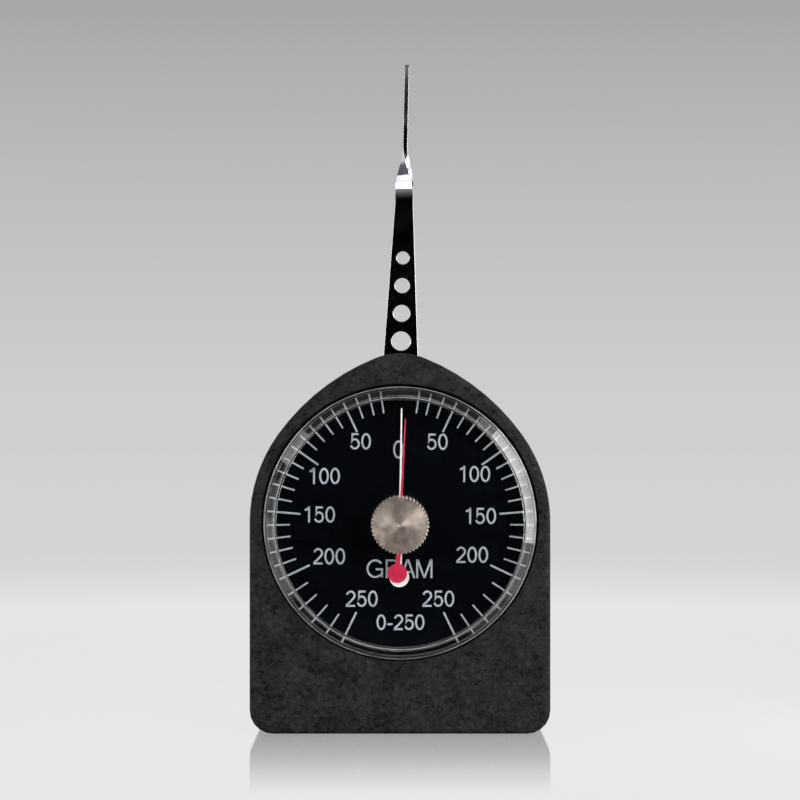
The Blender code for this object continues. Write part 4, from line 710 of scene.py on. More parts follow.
def leaned(place: Flat, turn_deg: float) -> Flat:
    """Turns a point clockwise about the origin, as the dial shows it.

    Args:
        place: X and height of the point.
        turn_deg: How far it turns.

    Returns:
        Its X and height after the turn.
    """
    x, z = place
    turn = math.radians(turn_deg)
    return (x * math.cos(turn) + z * math.sin(turn), z * math.cos(turn) - x * math.sin(turn))


@dataclass(frozen=True)
class Glyph:
    """A character's strokes, as centre lines in shares of the capital height."""

    advance: float
    strokes: tuple[tuple[Flat, ...], ...]
    closed: bool = False


def plain_glyphs() -> dict[str, Glyph]:
    """Draws the few plain grotesque characters that the dial needs.

    Returns:
        Each character's glyph.
    """
    low, high, middle = 0.058, 0.942, 0.5
    nought = bow((0.34, middle), (0.24, high - middle), 90, 450 - 12, 30)
    flag = bow((0.14, 1.0), (0.23, 0.21), -90, -8, 6)
    two = bow((0.34, 0.695), (0.235, 0.247), 168, -28) + [(0.30, 0.30)]
    two += bow((0.36, low + 0.02), (0.26, 0.16), 140, 178, 3) + [(0.095, low), (0.60, low)]
    five = [(0.57, high), (0.185, high), (0.13, 0.475)]
    five += bow((0.325, 0.345), (0.25, 0.287), 132, -160, 18)
    g_bow = bow((0.47, middle), (0.41, high - middle), 38, 318, 26)
    g_bar = [(0.50, 0.47), (0.83, 0.47), (0.83, 0.04)]
    r_bow = [(0.10, high), (0.44, high)] + bow((0.44, 0.725), (0.22, 0.217), 80, -80, 10)
    r_bow += [(0.44, 0.508), (0.10, 0.508)]
    return {
        "0": Glyph(0.68, (tuple(nought),), closed=True),
        "1": Glyph(0.68, (((0.40, 0.0), (0.40, 1.0)), tuple(flag))),
        "2": Glyph(0.68, (tuple(two),)),
        "5": Glyph(0.68, (tuple(five),)),
        "G": Glyph(0.98, (tuple(g_bow), tuple(g_bar))),
        "R": Glyph(0.82, (((0.10, 0.0), (0.10, 1.0)), tuple(r_bow), ((0.45, 0.52), (0.71, 0.0)))),
        "A": Glyph(
            0.80,
            (
                ((0.05, 0.0), (0.38, 0.99)),
                ((0.75, 0.0), (0.42, 0.99)),
                ((0.17, 0.33), (0.63, 0.33)),
            ),
        ),
        "M": Glyph(
            0.98,
            (
                ((0.10, 0.0), (0.10, 1.0)),
                ((0.86, 0.0), (0.86, 1.0)),
                ((0.12, 0.99), (0.48, 0.01)),
                ((0.84, 0.99), (0.48, 0.01)),
            ),
        ),
        "-": Glyph(0.44, (((0.06, 0.37), (0.38, 0.37)),)),
    }


class InkFilm:
    """Printed strokes on the dial, each a thin ribbon of ink with real thickness."""

    THICKNESS = 0.03 * MM
    # A corner reaches out by no more than one over this.
    MITRE_LIMIT = 0.45

    def __init__(self, face: float) -> None:
        """Starts a film.

        Args:
            face: Y of the dial's front.
        """
        self.face = face
        self.solid = Solid()
        self.glyphs = plain_glyphs()

    def stroke(self, path: Sequence[Flat], width: float, closed: bool = False) -> None:
        """Lays one ribbon.

        Args:
            path: Its centre line, about the dial's centre.
            width: Its width.
            closed: Joins its ends.
        """
        points = [Vector(point) for point in path]
        count = len(points)
        rows = []
        for place, point in enumerate(points):
            before = points[place - 1] if place or closed else None
            after = points[(place + 1) % count] if place < count - 1 or closed else None
            ways = []
            if before is not None:
                ways.append((point - before).normalized())
            if after is not None:
                ways.append((after - point).normalized())
            sides = [Vector((-way.y, way.x)) for way in ways]
            side = (sides[0] + sides[-1]).normalized()
            reach = width / 2 / max(side.dot(sides[0]), self.MITRE_LIMIT)
            near, far = point + side * reach, point - side * reach
            front = self.face - self.THICKNESS
            back = self.face + self.THICKNESS / 2
            rows.append([
                Vector((flat.x, y, DIAL_HEIGHT + flat.y))
                for flat, y in ((near, front), (far, front), (far, back), (near, back))
            ])
        self.solid.skin(rows, ring=closed)

    def text(self, words: str, centre: Flat, height: float, weight: float) -> None:
        """Sets a line of characters, centred on its ink.

        Args:
            words: The characters.
            centre: Where their middle lies, about the dial's centre.
            height: Capital height.
            weight: Stroke width.
        """
        pen = 0.0
        laid: list[tuple[list[Flat], bool]] = []
        for letter in words:
            glyph = self.glyphs[letter]
            for stroke in glyph.strokes:
                laid.append(([(pen + x, z) for x, z in stroke], glyph.closed))
            pen += glyph.advance
        across = [x for path, _ in laid for x, _ in path]
        middle = (min(across) + max(across)) / 2
        for path, closed in laid:
            placed = [
                (centre[0] + (x - middle) * height, centre[1] + (z - 0.5) * height) for x, z in path
            ]
            self.stroke(placed, weight, closed)

    def piece(self, name: str) -> None:
        """Ends the film as one piece on the case.

        Args:
            name: The piece's name.
        """
        place_piece(name, self.solid.data(name), SCREEN_INK, Body.CASE)


@dataclass
class Casing:
    """The painted case, its rear cover and the cover's screws."""

    screws: int = 4

    def build(self, nodes: Nodes) -> None:
        """Dresses the case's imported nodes.

        Args:
            nodes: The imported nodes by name.
        """
        dress(nodes, ("case_shell", "rear_cover"), WRINKLE_ENAMEL)
        dress(nodes, (f"cover_screw_{n + 1}" for n in range(self.screws)), TURNED_STEEL)


@dataclass
class DialFace:
    """The dial's sheet with its printed scale."""

    tick_outer: float = 27.5 * MM
    tick_inner: float = 22.7 * MM
    major_inner: float = 20.6 * MM
    tick_width: float = 0.34 * MM
    major_width: float = 0.40 * MM
    numeral_height: float = 3.35 * MM
    numeral_weight: float = 0.40 * MM
    unit_height: float = 3.88 * MM
    unit_place: Flat = (-0.1 * MM, -9.57 * MM)
    range_height: float = 3.2 * MM
    range_place: Flat = (0.1 * MM, -20.6 * MM)
    zero_place: Flat = (-0.3 * MM, 15.0 * MM)
    zero_height: float = 3.8 * MM

    # Load in gram, and how far round from the top it lies.
    SCALE = (
        (0, 0.0), (20, 8.5), (30, 13.7), (50, 25.4), (100, 54.9), (150, 85.2), (200, 115.4), (250, 154.1),
    )
    FIRST_LOAD, FULL_LOAD, LOAD_STEP, MAJOR_LOAD = 20, 250, 10, 50
    # Where each number stands, to the left and to the right of the dial's centre, in millimetres.
    NUMERAL_PLACES_MM = {
        50: ((-8.15, 16.68), (7.69, 16.60)),
        100: ((-15.59, 9.53), (15.38, 9.96)),
        150: ((-16.60, 1.59), (16.60, 1.30)),
        200: ((-14.58, -7.01), (14.87, -6.70)),
        250: ((-7.88, -15.75), (7.90, -15.75)),
    }

    def turn_for(self, load: float) -> float:
        """Angle of a load on the dial.

        Args:
            load: The load in gram.

        Returns:
            Degrees from the top.
        """
        for (lower, start), (upper, end) in zip(self.SCALE, self.SCALE[1:]):
            if lower <= load <= upper:
                return start + (end - start) * (load - lower) / (upper - lower)
        raise ValueError(f"{load} is off the scale")

    def ticks(self, face: float) -> None:
        """Prints the scale's strokes.

        Args:
            face: Y of the dial's front.
        """
        film = InkFilm(face)
        for load in range(self.FIRST_LOAD, self.FULL_LOAD + 1, self.LOAD_STEP):
            major = load % self.MAJOR_LOAD == 0
            inner = self.major_inner if major else self.tick_inner
            for side in (-1, 1):
                turn = side * self.turn_for(load)
                path = (leaned((0.0, inner), turn), leaned((0.0, self.tick_outer), turn))
                film.stroke(path, self.major_width if major else self.tick_width)
        film.piece("dial_ticks")

    def numerals(self, face: float) -> None:
        """Prints the scale's numbers.

        Args:
            face: Y of the dial's front.
        """
        film = InkFilm(face)
        for load, places in self.NUMERAL_PLACES_MM.items():
            for across, up in places:
                place = (across * MM, up * MM)
                film.text(str(load), place, self.numeral_height, self.numeral_weight)
        film.text("0", self.zero_place, self.zero_height, self.numeral_weight)
        film.text("0-250", self.range_place, self.range_height, self.numeral_weight)
        film.piece("dial_numerals")

    def build(self, nodes: Nodes) -> None:
        """Dresses the sheet and prints on it.

        Args:
            nodes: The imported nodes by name.
        """
        dress(nodes, ("dial_plate",), DIAL_ENAMEL)
        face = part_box("dial_plate")[0].y
        self.ticks(face)
        self.numerals(face)
        unit = InkFilm(face)
        unit.text("GRAM", self.unit_place, self.unit_height, self.numeral_weight)
        unit.piece("dial_unit")


@dataclass
class CrystalCup:
    """The clear cup over the dial, with its gasket and the bush through its middle."""

    taper: float = 2.2 * MM
    taper_depth: float = 2.2 * MM
    inner_taper: float = 1.65 * MM
    wall: float = 1.0 * MM
    face_thickness: float = 1.2 * MM
    corner: float = 0.18 * MM
    bore: float = 2.08 * MM
    sides: int = 256

    def profile(self) -> list[Flat]:
        """Works out the cup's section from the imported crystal.

        Returns:
            Radius and Y of each point, from the bore's front outwards and back again.
        """
        low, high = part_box("crystal")
        outer = (high.x - low.x) / 2
        inner = outer - self.wall
        inside = low.y + self.face_thickness
        corners = (
            (self.bore, low.y),
            (outer - self.taper, low.y),
            (outer, low.y + self.taper_depth),
            (outer, high.y),
            (inner, high.y),
            (inner, inside + self.inner_taper * self.taper_depth / self.taper),
            (inner - self.inner_taper, inside),
            (self.bore, inside),
        )
        return eased(corners, self.corner)

    def build(self, nodes: Nodes) -> None:
        """Turns the cup and dresses what seats and pierces it.

        Args:
            nodes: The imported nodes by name.
        """
        solid = Solid()
        solid.turn(self.profile(), self.sides, (0.0, DIAL_HEIGHT), ring=True)
        blank = solid.data("crystal_cup")
        cup = place_piece("crystal_cup", blank, CAST_ACRYLIC, Body.CASE)
        flatten_normals(cup)
        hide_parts("crystal")
        dress(nodes, ("crystal_gasket",), GASKET_RUBBER)
        dress(nodes, ("spindle_bush", "bush_nut"), KNOB_NICKEL)
        dress(nodes, ("friction_washer",), TURNED_STEEL)


@dataclass
class ResetKnob:
    """The knurled knob that turns the peak pointer, with its spindle."""

    radius: float = 5.9 * MM
    teeth: int = 44
    tooth_depth: float = 0.36 * MM
    columns_per_tooth: int = 8
    scallop_power: float = 1.5
    sharp_deg: float = 24
    chamfer: float = 0.45 * MM
    face_margin: float = 0.22 * MM
    cone_height: float = 0.35 * MM
    point_radius: float = 0.4 * MM
    point_depth: float = 0.2 * MM
    ring_pitch: float = 0.16 * MM
    ring_depth: float = 0.006 * MM
    bore: float = 1.1 * MM
    bore_depth: float = 3.4 * MM
    point_steps: int = 5

    def rows(self) -> list[tuple[float, float, float]]:
        """Works out the knob's section.

        Returns:
            Radius, Y and depth of the knurl at each row, from the centre of the face to the bore.
        """
        low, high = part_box("reset_knob")
        top, back = low.y, high.y
        face = top + self.cone_height
        plain = self.radius - self.tooth_depth - self.chamfer
        rows = [(0.0, top + self.point_depth, 0.0)]
        for step in range(1, self.point_steps + 1):
            turn = math.pi / 2 * step / self.point_steps
            out, down = self.point_radius * math.sin(turn), self.point_depth * math.cos(turn)
            rows.append((out, top + down, 0.0))
        rings = int((plain - self.point_radius) / self.ring_pitch)
        for ring in range(1, rings):
            radius = self.point_radius + ring * self.ring_pitch
            share = (radius - self.point_radius) / (plain - self.point_radius)
            groove = self.ring_depth if ring % 2 else 0.0
            rows.append((radius, top + self.cone_height * share + groove, 0.0))
        rows += [
            (plain, face, 0.0),
            (self.radius - self.face_margin, face, self.tooth_depth),
            (self.radius, face + self.face_margin, self.tooth_depth),
            (self.radius, back - self.chamfer, self.tooth_depth),
            (plain, back, 0.0),
            (self.bore, back, 0.0),
            (self.bore, back - self.bore_depth, 0.0),
            (0.0, back - self.bore_depth, 0.0),
        ]
        return rows

    def build(self, nodes: Nodes) -> None:
        """Knurls the knob and dresses the spindle.

        Args:
            nodes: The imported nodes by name.
        """
        columns = self.teeth * self.columns_per_tooth
        half = self.columns_per_tooth / 2
        loops = []
        for radius, y, knurl in self.rows():
            if radius == 0:
                loops.append([Vector((0, y, DIAL_HEIGHT))])
                continue
            loop = []
            for column in range(columns):
                off_crest = abs(column % self.columns_per_tooth - half) / half
                scallop = off_crest**self.scallop_power
                x, up = leaned((0.0, radius - knurl * scallop), 360 * column / columns)
                loop.append(Vector((x, y, DIAL_HEIGHT + up)))
            loops.append(loop)
        solid = Solid()
        solid.skin(loops)
        blank = solid.data("knurled_knob")
        knob = place_piece(
            "knurled_knob", blank, KNOB_NICKEL, Body.PEAK, smooth_deg=self.sharp_deg
        )
        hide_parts("reset_knob")
        dress(nodes, ("knob_spindle", "peak_boss", "drag_dog"), TURNED_STEEL)


@dataclass(frozen=True)
class Needle:
    """A tapered needle with a hub and a round tail, cut from sheet."""

    name: str
    node: str
    body: Body
    slot: Slot
    finish: Finish
    length: float
    base_width: float
    tip_width: float
    hub_radius: float
    hole_radius: float
    neck: float
    tail_reach: float
    tail_radius: float
    rest_deg: float
    edge: float = 0.05 * MM
    edge_segments: int = 2
    hub_steps: int = 16
    tail_steps: int = 40
    hole_sides: int = 48

    def outline(self) -> list[Flat]:
        """Draws the needle about its hub, turned to its place at rest.

        Returns:
            The corners in order.
        """
        needle_deg = math.degrees(math.asin(self.base_width / 2 / self.hub_radius))
        neck_deg = math.degrees(math.asin(self.neck / 2 / self.hub_radius))
        tail_deg = math.degrees(math.asin(self.neck / 2 / self.tail_radius))
        right = [(self.tip_width / 2, self.length)]
        hub = (self.hub_radius, self.hub_radius)
        right += bow((0, 0), hub, 90 - needle_deg, -90 + neck_deg, self.hub_steps)
        tail = (self.tail_radius, self.tail_radius)
        right += bow((0, -self.tail_reach), tail, 90 - tail_deg, -90, self.tail_steps)
        corners = right + [(-x, z) for x, z in reversed(right[:-1])]
        return [leaned(corner, self.rest_deg) for corner in corners]

    def build(self) -> None:
        """Cuts the needle, pierces its hub and softens its edges."""
        low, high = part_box(self.node)
        solid = Solid()
        solid.slab([(x, DIAL_HEIGHT + z) for x, z in self.outline()], low.y, high.y)
        hole = Solid()
        over = high.y - low.y
        front, back = low.y - over, high.y + over
        profile = [(0.0, front), (self.hole_radius, front), (self.hole_radius, back), (0.0, back)]
        hole.turn(profile, self.hole_sides, (0.0, DIAL_HEIGHT))
        blank = carve(solid.data(self.name), hole)
        needle = place_piece(self.name, blank, self.finish, self.body)
        edges = needle.modifiers.new("soft_edges", "BEVEL")
        edges.width = self.edge
        edges.segments = self.edge_segments
        edges.limit_method = "ANGLE"
        edges.harden_normals = True
        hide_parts(self.node)


@dataclass
class Pointers:
    """The white needle and the crimson peak needle in front of it."""

    def build(self, nodes: Nodes) -> None:
        """Builds both needles and dresses what carries the white one.

        Args:
            nodes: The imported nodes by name.
        """
        Needle(
            "white_needle", "main_pointer", Body.POINTER, Slot.WHITE, WHITE_LACQUER,
            length=23.5 * MM, base_width=0.46 * MM, tip_width=0.28 * MM, hub_radius=2.0 * MM,
            hole_radius=0.9 * MM, neck=1.0 * MM, tail_reach=11.2 * MM, tail_radius=2.05 * MM,
            rest_deg=0.8,
        ).build()
        Needle(
            "crimson_needle", "peak_pointer", Body.PEAK, Slot.CRIMSON, CRIMSON_LACQUER,
            length=21.4 * MM, base_width=0.60 * MM, tip_width=0.24 * MM, hub_radius=1.9 * MM,
            hole_radius=1.45 * MM, neck=1.0 * MM, tail_reach=10.3 * MM, tail_radius=2.0 * MM,
            rest_deg=3.0,
        ).build()
        dress(nodes, ("pointer_hub", "drag_pin"), TURNED_BRASS)


@dataclass
class LeverBlade:
    """The pierced and twisted blade of the lever, and what is fixed to it."""

    reach: float = 68.0 * MM
    thickness: float = 0.9 * MM
    root_width: float = 8.0 * MM
    neck_width: float = 3.8 * MM
    tip_width: float = 2.9 * MM
    twist_start: float = 38.8 * MM
    twist_length: float = 12.4 * MM
    twist_deg: float = -90.0
    edge_width: float = 0.10 * MM
    edge_depth: float = 0.09 * MM
    tip_edge_share: float = 0.3
    tip_chamfer: float = 0.4 * MM
    rest_deg: float = 1.25
    hole_diameters_mm: tuple[float, ...] = (4.0, 3.5, 3.1, 2.65)
    first_hole: float = 10.1 * MM
    hole_pitch: float = 5.82 * MM
    hole_edge: float = 0.08 * MM
    arbor_hole: float = 1.1 * MM
    rivets: tuple[str, ...] = ("lever_rivet_1", "lever_rivet_2")
    rivet_hole: float = 0.5 * MM
    edge_steps: int = 6
    tail_steps: int = 10
    twist_steps: int = 56
    hole_sides: int = 64
    mouth_steps: int = 5

    def width_at(self, reach: float) -> float:
        """Works out the blade's width.

        Args:
            reach: Distance from the pivot.

        Returns:
            The width there.
        """
        if reach <= self.twist_start:
            return self.root_width + (self.neck_width - self.root_width) * reach / self.twist_start
        share = (reach - self.twist_start) / (self.reach - self.twist_start)
        return self.neck_width + (self.tip_width - self.neck_width) * share

    def section(self, reach: float, width: float, twist: float) -> list[Vector]:
        """Draws one cross-section with softly chamfered edges.

        Args:
            reach: Distance from the pivot.
            width: The blade's width there.
            twist: How far it is twisted there.

        Returns:
            The points, about the pivot, with the blade upright.
        """
        # The edges round off less towards the tip, and the back's change half as much.
        way_up = min(max(reach / (self.twist_start + self.twist_length), 0), 1)
        fine_share = 1 + (self.tip_edge_share - 1) * way_up
        points = []
        for across, through in ((-1, -1), (1, -1), (1, 1), (-1, 1)):
            edge_share = fine_share if through < 0 else (1 + fine_share) / 2
            steps = range(self.edge_steps + 1)
            if across != through:
                steps = reversed(steps)
            for step in steps:
                turn = math.pi / 2 * step / self.edge_steps
                out, up = math.cos(turn), math.sin(turn)
                x = across * (width / 2 - self.edge_width * edge_share * (1 - out))
                y = through * (self.thickness / 2 - self.edge_depth * edge_share * (1 - up))
                turned_x = x * math.cos(twist) - y * math.sin(twist)
                points.append(Vector((turned_x, x * math.sin(twist) + y * math.cos(twist), reach)))
        return points

    def sections(self) -> list[list[Vector]]:
        """Lines up the cross-sections from the round tail to the chamfered tip.

        Returns:
            The sections in order.
        """
        rows = []
        radius = self.root_width / 2
        for step in range(1, self.tail_steps + 1):
            turn = math.pi / 2 * (step + 1) / (self.tail_steps + 1)
            rows.append(self.section(-radius * math.cos(turn), 2 * radius * math.sin(turn), 0))
        for step in range(self.twist_steps + 1):
            share = step / self.twist_steps
            twist = math.radians(self.twist_deg) * share * share * (3 - 2 * share)
            reach = self.twist_start + self.twist_length * share
            rows.append(self.section(reach, self.width_at(reach), twist))
        twist = math.radians(self.twist_deg)
        shoulder = self.reach - self.tip_chamfer
        rows.append(self.section(shoulder, self.width_at(shoulder), twist))
        rows.append(self.section(self.reach, self.tip_width - 2 * self.tip_chamfer, twist))
        return rows

    def cutters(self, pivot: Vector) -> Solid:
        """Makes the tools for the holes, with rounded mouths on the four that show.

        Args:
            pivot: The lever's pivot.

        Returns:
            The tools, as one solid.
        """
        face = self.thickness / 2
        over = self.thickness
        tools = Solid()

        def drill(x: float, z: float, radius: float, edge: float) -> None:
            """Adds one tool.

            Args:
                x: X of its axis.
                z: Z of its axis.
                radius: Its radius.
                edge: How far its mouth rounds off.
            """
            profile = [(0.0, -face - over), (radius + edge, -face - over)]
            turns = [math.pi / 2 * (1 - step / self.mouth_steps) for step in range(self.mouth_steps + 1)]
            mouth = [
                (radius + edge * (1 - math.cos(turn)), -face + edge * (1 - math.sin(turn)))
                for turn in turns
            ]
            if edge:
                profile += mouth + [(r, -y) for r, y in reversed(mouth)]
            profile += [(radius + edge, face + over), (0.0, face + over)]
            tools.turn(profile, self.hole_sides, (x, z))

        drill(0.0, 0.0, self.arbor_hole, 0.0)
        for rivet in self.rivets:
            low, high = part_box(rivet)
            spot = (low + high) / 2 - pivot
            drill(*leaned((spot.x, spot.z), -self.rest_deg), self.rivet_hole, 0.0)
        for place, diameter in enumerate(self.hole_diameters_mm):
            drill(0.0, self.first_hole + place * self.hole_pitch, diameter * MM / 2, self.hole_edge)
        return tools

    def build(self, nodes: Nodes, pivot: Vector) -> None:
        """Forges the blade, pierces it and dresses what it carries.

        Args:
            nodes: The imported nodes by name.
            pivot: The lever's pivot.
        """
        solid = Solid()
        solid.skin(self.sections())
        blank = carve(solid.data("twisted_blade"), self.cutters(pivot))
        for vertex in blank.vertices:
            x, z = leaned((vertex.co.x, vertex.co.z), self.rest_deg)
            vertex.co = pivot + Vector((x, vertex.co.y, z))
        blade = place_piece("twisted_blade", blank, BLADE_STEEL, Body.LEVER)
        flatten_normals(blade)
        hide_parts("lever_arm")
        dress(nodes, ("lever_arbor", *self.rivets), TURNED_STEEL)
        dress(nodes, ("lever_hub", "sector_hub", "sector_gear"), TURNED_BRASS)
        dress(nodes, ("measuring_spring",), BLUED_SPRING)


@dataclass
class Movement:
    """The plates, pillars and small parts behind the dial."""

    brass: tuple[str, ...] = (
        "movement_plate", "movement_bridge", "spring_anchor", "hairspring_collet", "hairspring_stud",
        "lever_bush_front", "lever_bush_rear", "pointer_bush_front", "pointer_bush_rear",
    )
    steel: tuple[str, ...] = ("pointer_arbor", "pinion", "stop_pin_1", "stop_pin_2")
    screws: tuple[str, ...] = ("bridge_screw", "plate_screw")
    corners: int = 4

    def build(self, nodes: Nodes) -> None:
        """Dresses the movement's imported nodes.

        Args:
            nodes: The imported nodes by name.
        """
        dress(nodes, self.brass, TURNED_BRASS)
        dress(nodes, (f"pillar_{n + 1}" for n in range(self.corners)), TURNED_BRASS)
        dress(nodes, self.steel, TURNED_STEEL)
        for kind in self.screws:
            dress(nodes, (f"{kind}_{n + 1}" for n in range(self.corners)), TURNED_STEEL)
        dress(nodes, ("anchor_screw_1", "anchor_screw_2"), TURNED_STEEL)
        dress(nodes, ("hairspring",), BLUED_SPRING)


class ClothShape(Enum):
    """The outline of a softbox's cloth."""

    OBLONG = "RECTANGLE"
    OVAL = "ELLIPSE"


@dataclass(frozen=True)
class Softbox:
    """A lamp behind white cloth, which faces straight across the gauge unless it has an aim."""

    name: str
    place: tuple[float, float, float]
    width: float
    height: float
    watts: float
    aim: tuple[float, float, float] | None = None
    shape: ClothShape = ClothShape.OBLONG

    def build(self) -> None:
        """Hangs the lamp, hidden from the camera."""
        data = bpy.data.lights.new(self.name, "AREA")
        data.shape = self.shape.value
        data.size = self.width
        data.size_y = self.height
        data.energy = self.watts
        lamp = bpy.data.objects.new(self.name, data)
        bpy.context.scene.collection.objects.link(lamp)
        aim = self.aim or (0.0, *self.place[1:])
        way = Vector(aim) - Vector(self.place)
        lamp.location = self.place
        lamp.rotation_euler = way.to_track_quat("-Z", "Y").to_euler()
        lamp.visible_camera = False


CASE_MIDDLE = (0.0, 0.0, 0.055)
SOFTBOXES = (
    # Two keys, low on either side, light the front and fan over the knob's face.
    Softbox("left_key_softbox", (-0.66, -0.70, 0.20), 0.36, 0.40, watts=3.0, aim=CASE_MIDDLE),
    Softbox("right_key_softbox", (0.62, -0.74, 0.20), 0.40, 0.40, watts=4.2, aim=CASE_MIDDLE),
    # Close lamps beside the case draw the bright bands on the crystal's shoulder.
    Softbox("right_strip", (0.11, -0.012, 0.082), 0.05, 0.12, watts=0.075),
    Softbox("right_softbox", (0.17, -0.17, 0.175), 0.54, 0.15, watts=0.28),
    # The oval one is also part of the white patch on the blade's twist.
    Softbox("left_softbox", (-0.20, -0.13, 0.18), 0.30, 0.15, watts=0.17, shape=ClothShape.OVAL),
    Softbox("left_low_softbox", (-0.20, -0.056, 0.055), 0.17, 0.10, watts=0.018),
)


@dataclass(frozen=True)
class MirroredRoom:
    """The room that polished surfaces reflect, by direction from the gauge.

    Limits are parts of a unit direction: to either side (X), towards the wall (Y) and up (Z).
    """

    front: str = "#050507"
    ahead: str = "#E8E8E8"
    beside: str = "#6C7076"
    overhead: str = "#707070"
    front_limits: Flat = (-0.45, -0.1)
    front_width: Flat = (0.05, 0.9)
    front_height: Flat = (0.165, 0.20)
    beside_limits: Flat = (0.45, 0.75)
    overhead_limits: Flat = (0.35, 0.8)

    def paint(self, tree: Tree, parts: Node) -> Socket:
        """Paints the room, with its dark end behind the camera.

        Args:
            tree: The world's node tree.
            parts: The direction's X, Y and Z.

        Returns:
            The colour in each direction.
        """
        across = add_node(tree, "ShaderNodeMath", {0: parts.outputs["X"]}, operation="ABSOLUTE")
        aside = across.outputs[0]
        tilt = add_node(tree, "ShaderNodeMath", {0: parts.outputs["Z"]}, operation="ABSOLUTE")
        limits = (
            (parts.outputs["Y"], self.front_limits),
            (aside, self.front_width),
            (tilt.outputs[0], self.front_height),
        )
        share: Socket | float = 1.0
        for value, (start, end) in limits:
            fall = {"Value": value, "From Min": start, "From Max": end, "To Min": 1.0, "To Max": 0.0}
            part = add_node(tree, "ShaderNodeMapRange", fall, interpolation_type="SMOOTHSTEP")
            both = {0: share, 1: part.outputs["Result"]}
            share = add_node(tree, "ShaderNodeMath", both, operation="MULTIPLY").outputs[0]
        colour: Socket | Colour = linear(self.ahead)
        turns = (
            (aside, self.beside_limits, self.beside),
            (parts.outputs["Z"], self.overhead_limits, self.overhead),
        )
        for value, (start, end), shade in turns:
            turn = {"Value": value, "From Min": start, "From Max": end}
            past = add_node(tree, "ShaderNodeMapRange", turn, interpolation_type="SMOOTHSTEP")
            mixed = {0: past.outputs["Result"], 6: colour, 7: linear(shade)}
            colour = add_node(tree, "ShaderNodeMix", mixed, data_type="RGBA").outputs[2]
        room = {0: share, 6: colour, 7: linear(self.front)}
        return add_node(tree, "ShaderNodeMix", room, data_type="RGBA").outputs[2]


def studio_piece(name: str, mesh: bmesh.types.BMesh, material: bpy.types.Material) -> bpy.types.Object:
    """Puts a piece of the studio in the scene.

    Args:
        name: The piece's name.
        mesh: Its mesh, which is used up.
        material: Its material.

    Returns:
        The piece.
    """
    data = bpy.data.meshes.new(name)
    mesh.to_mesh(data)
    mesh.free()
    data.materials.append(material)
    piece = bpy.data.objects.new(name, data)
    bpy.context.scene.collection.objects.link(piece)
    return piece


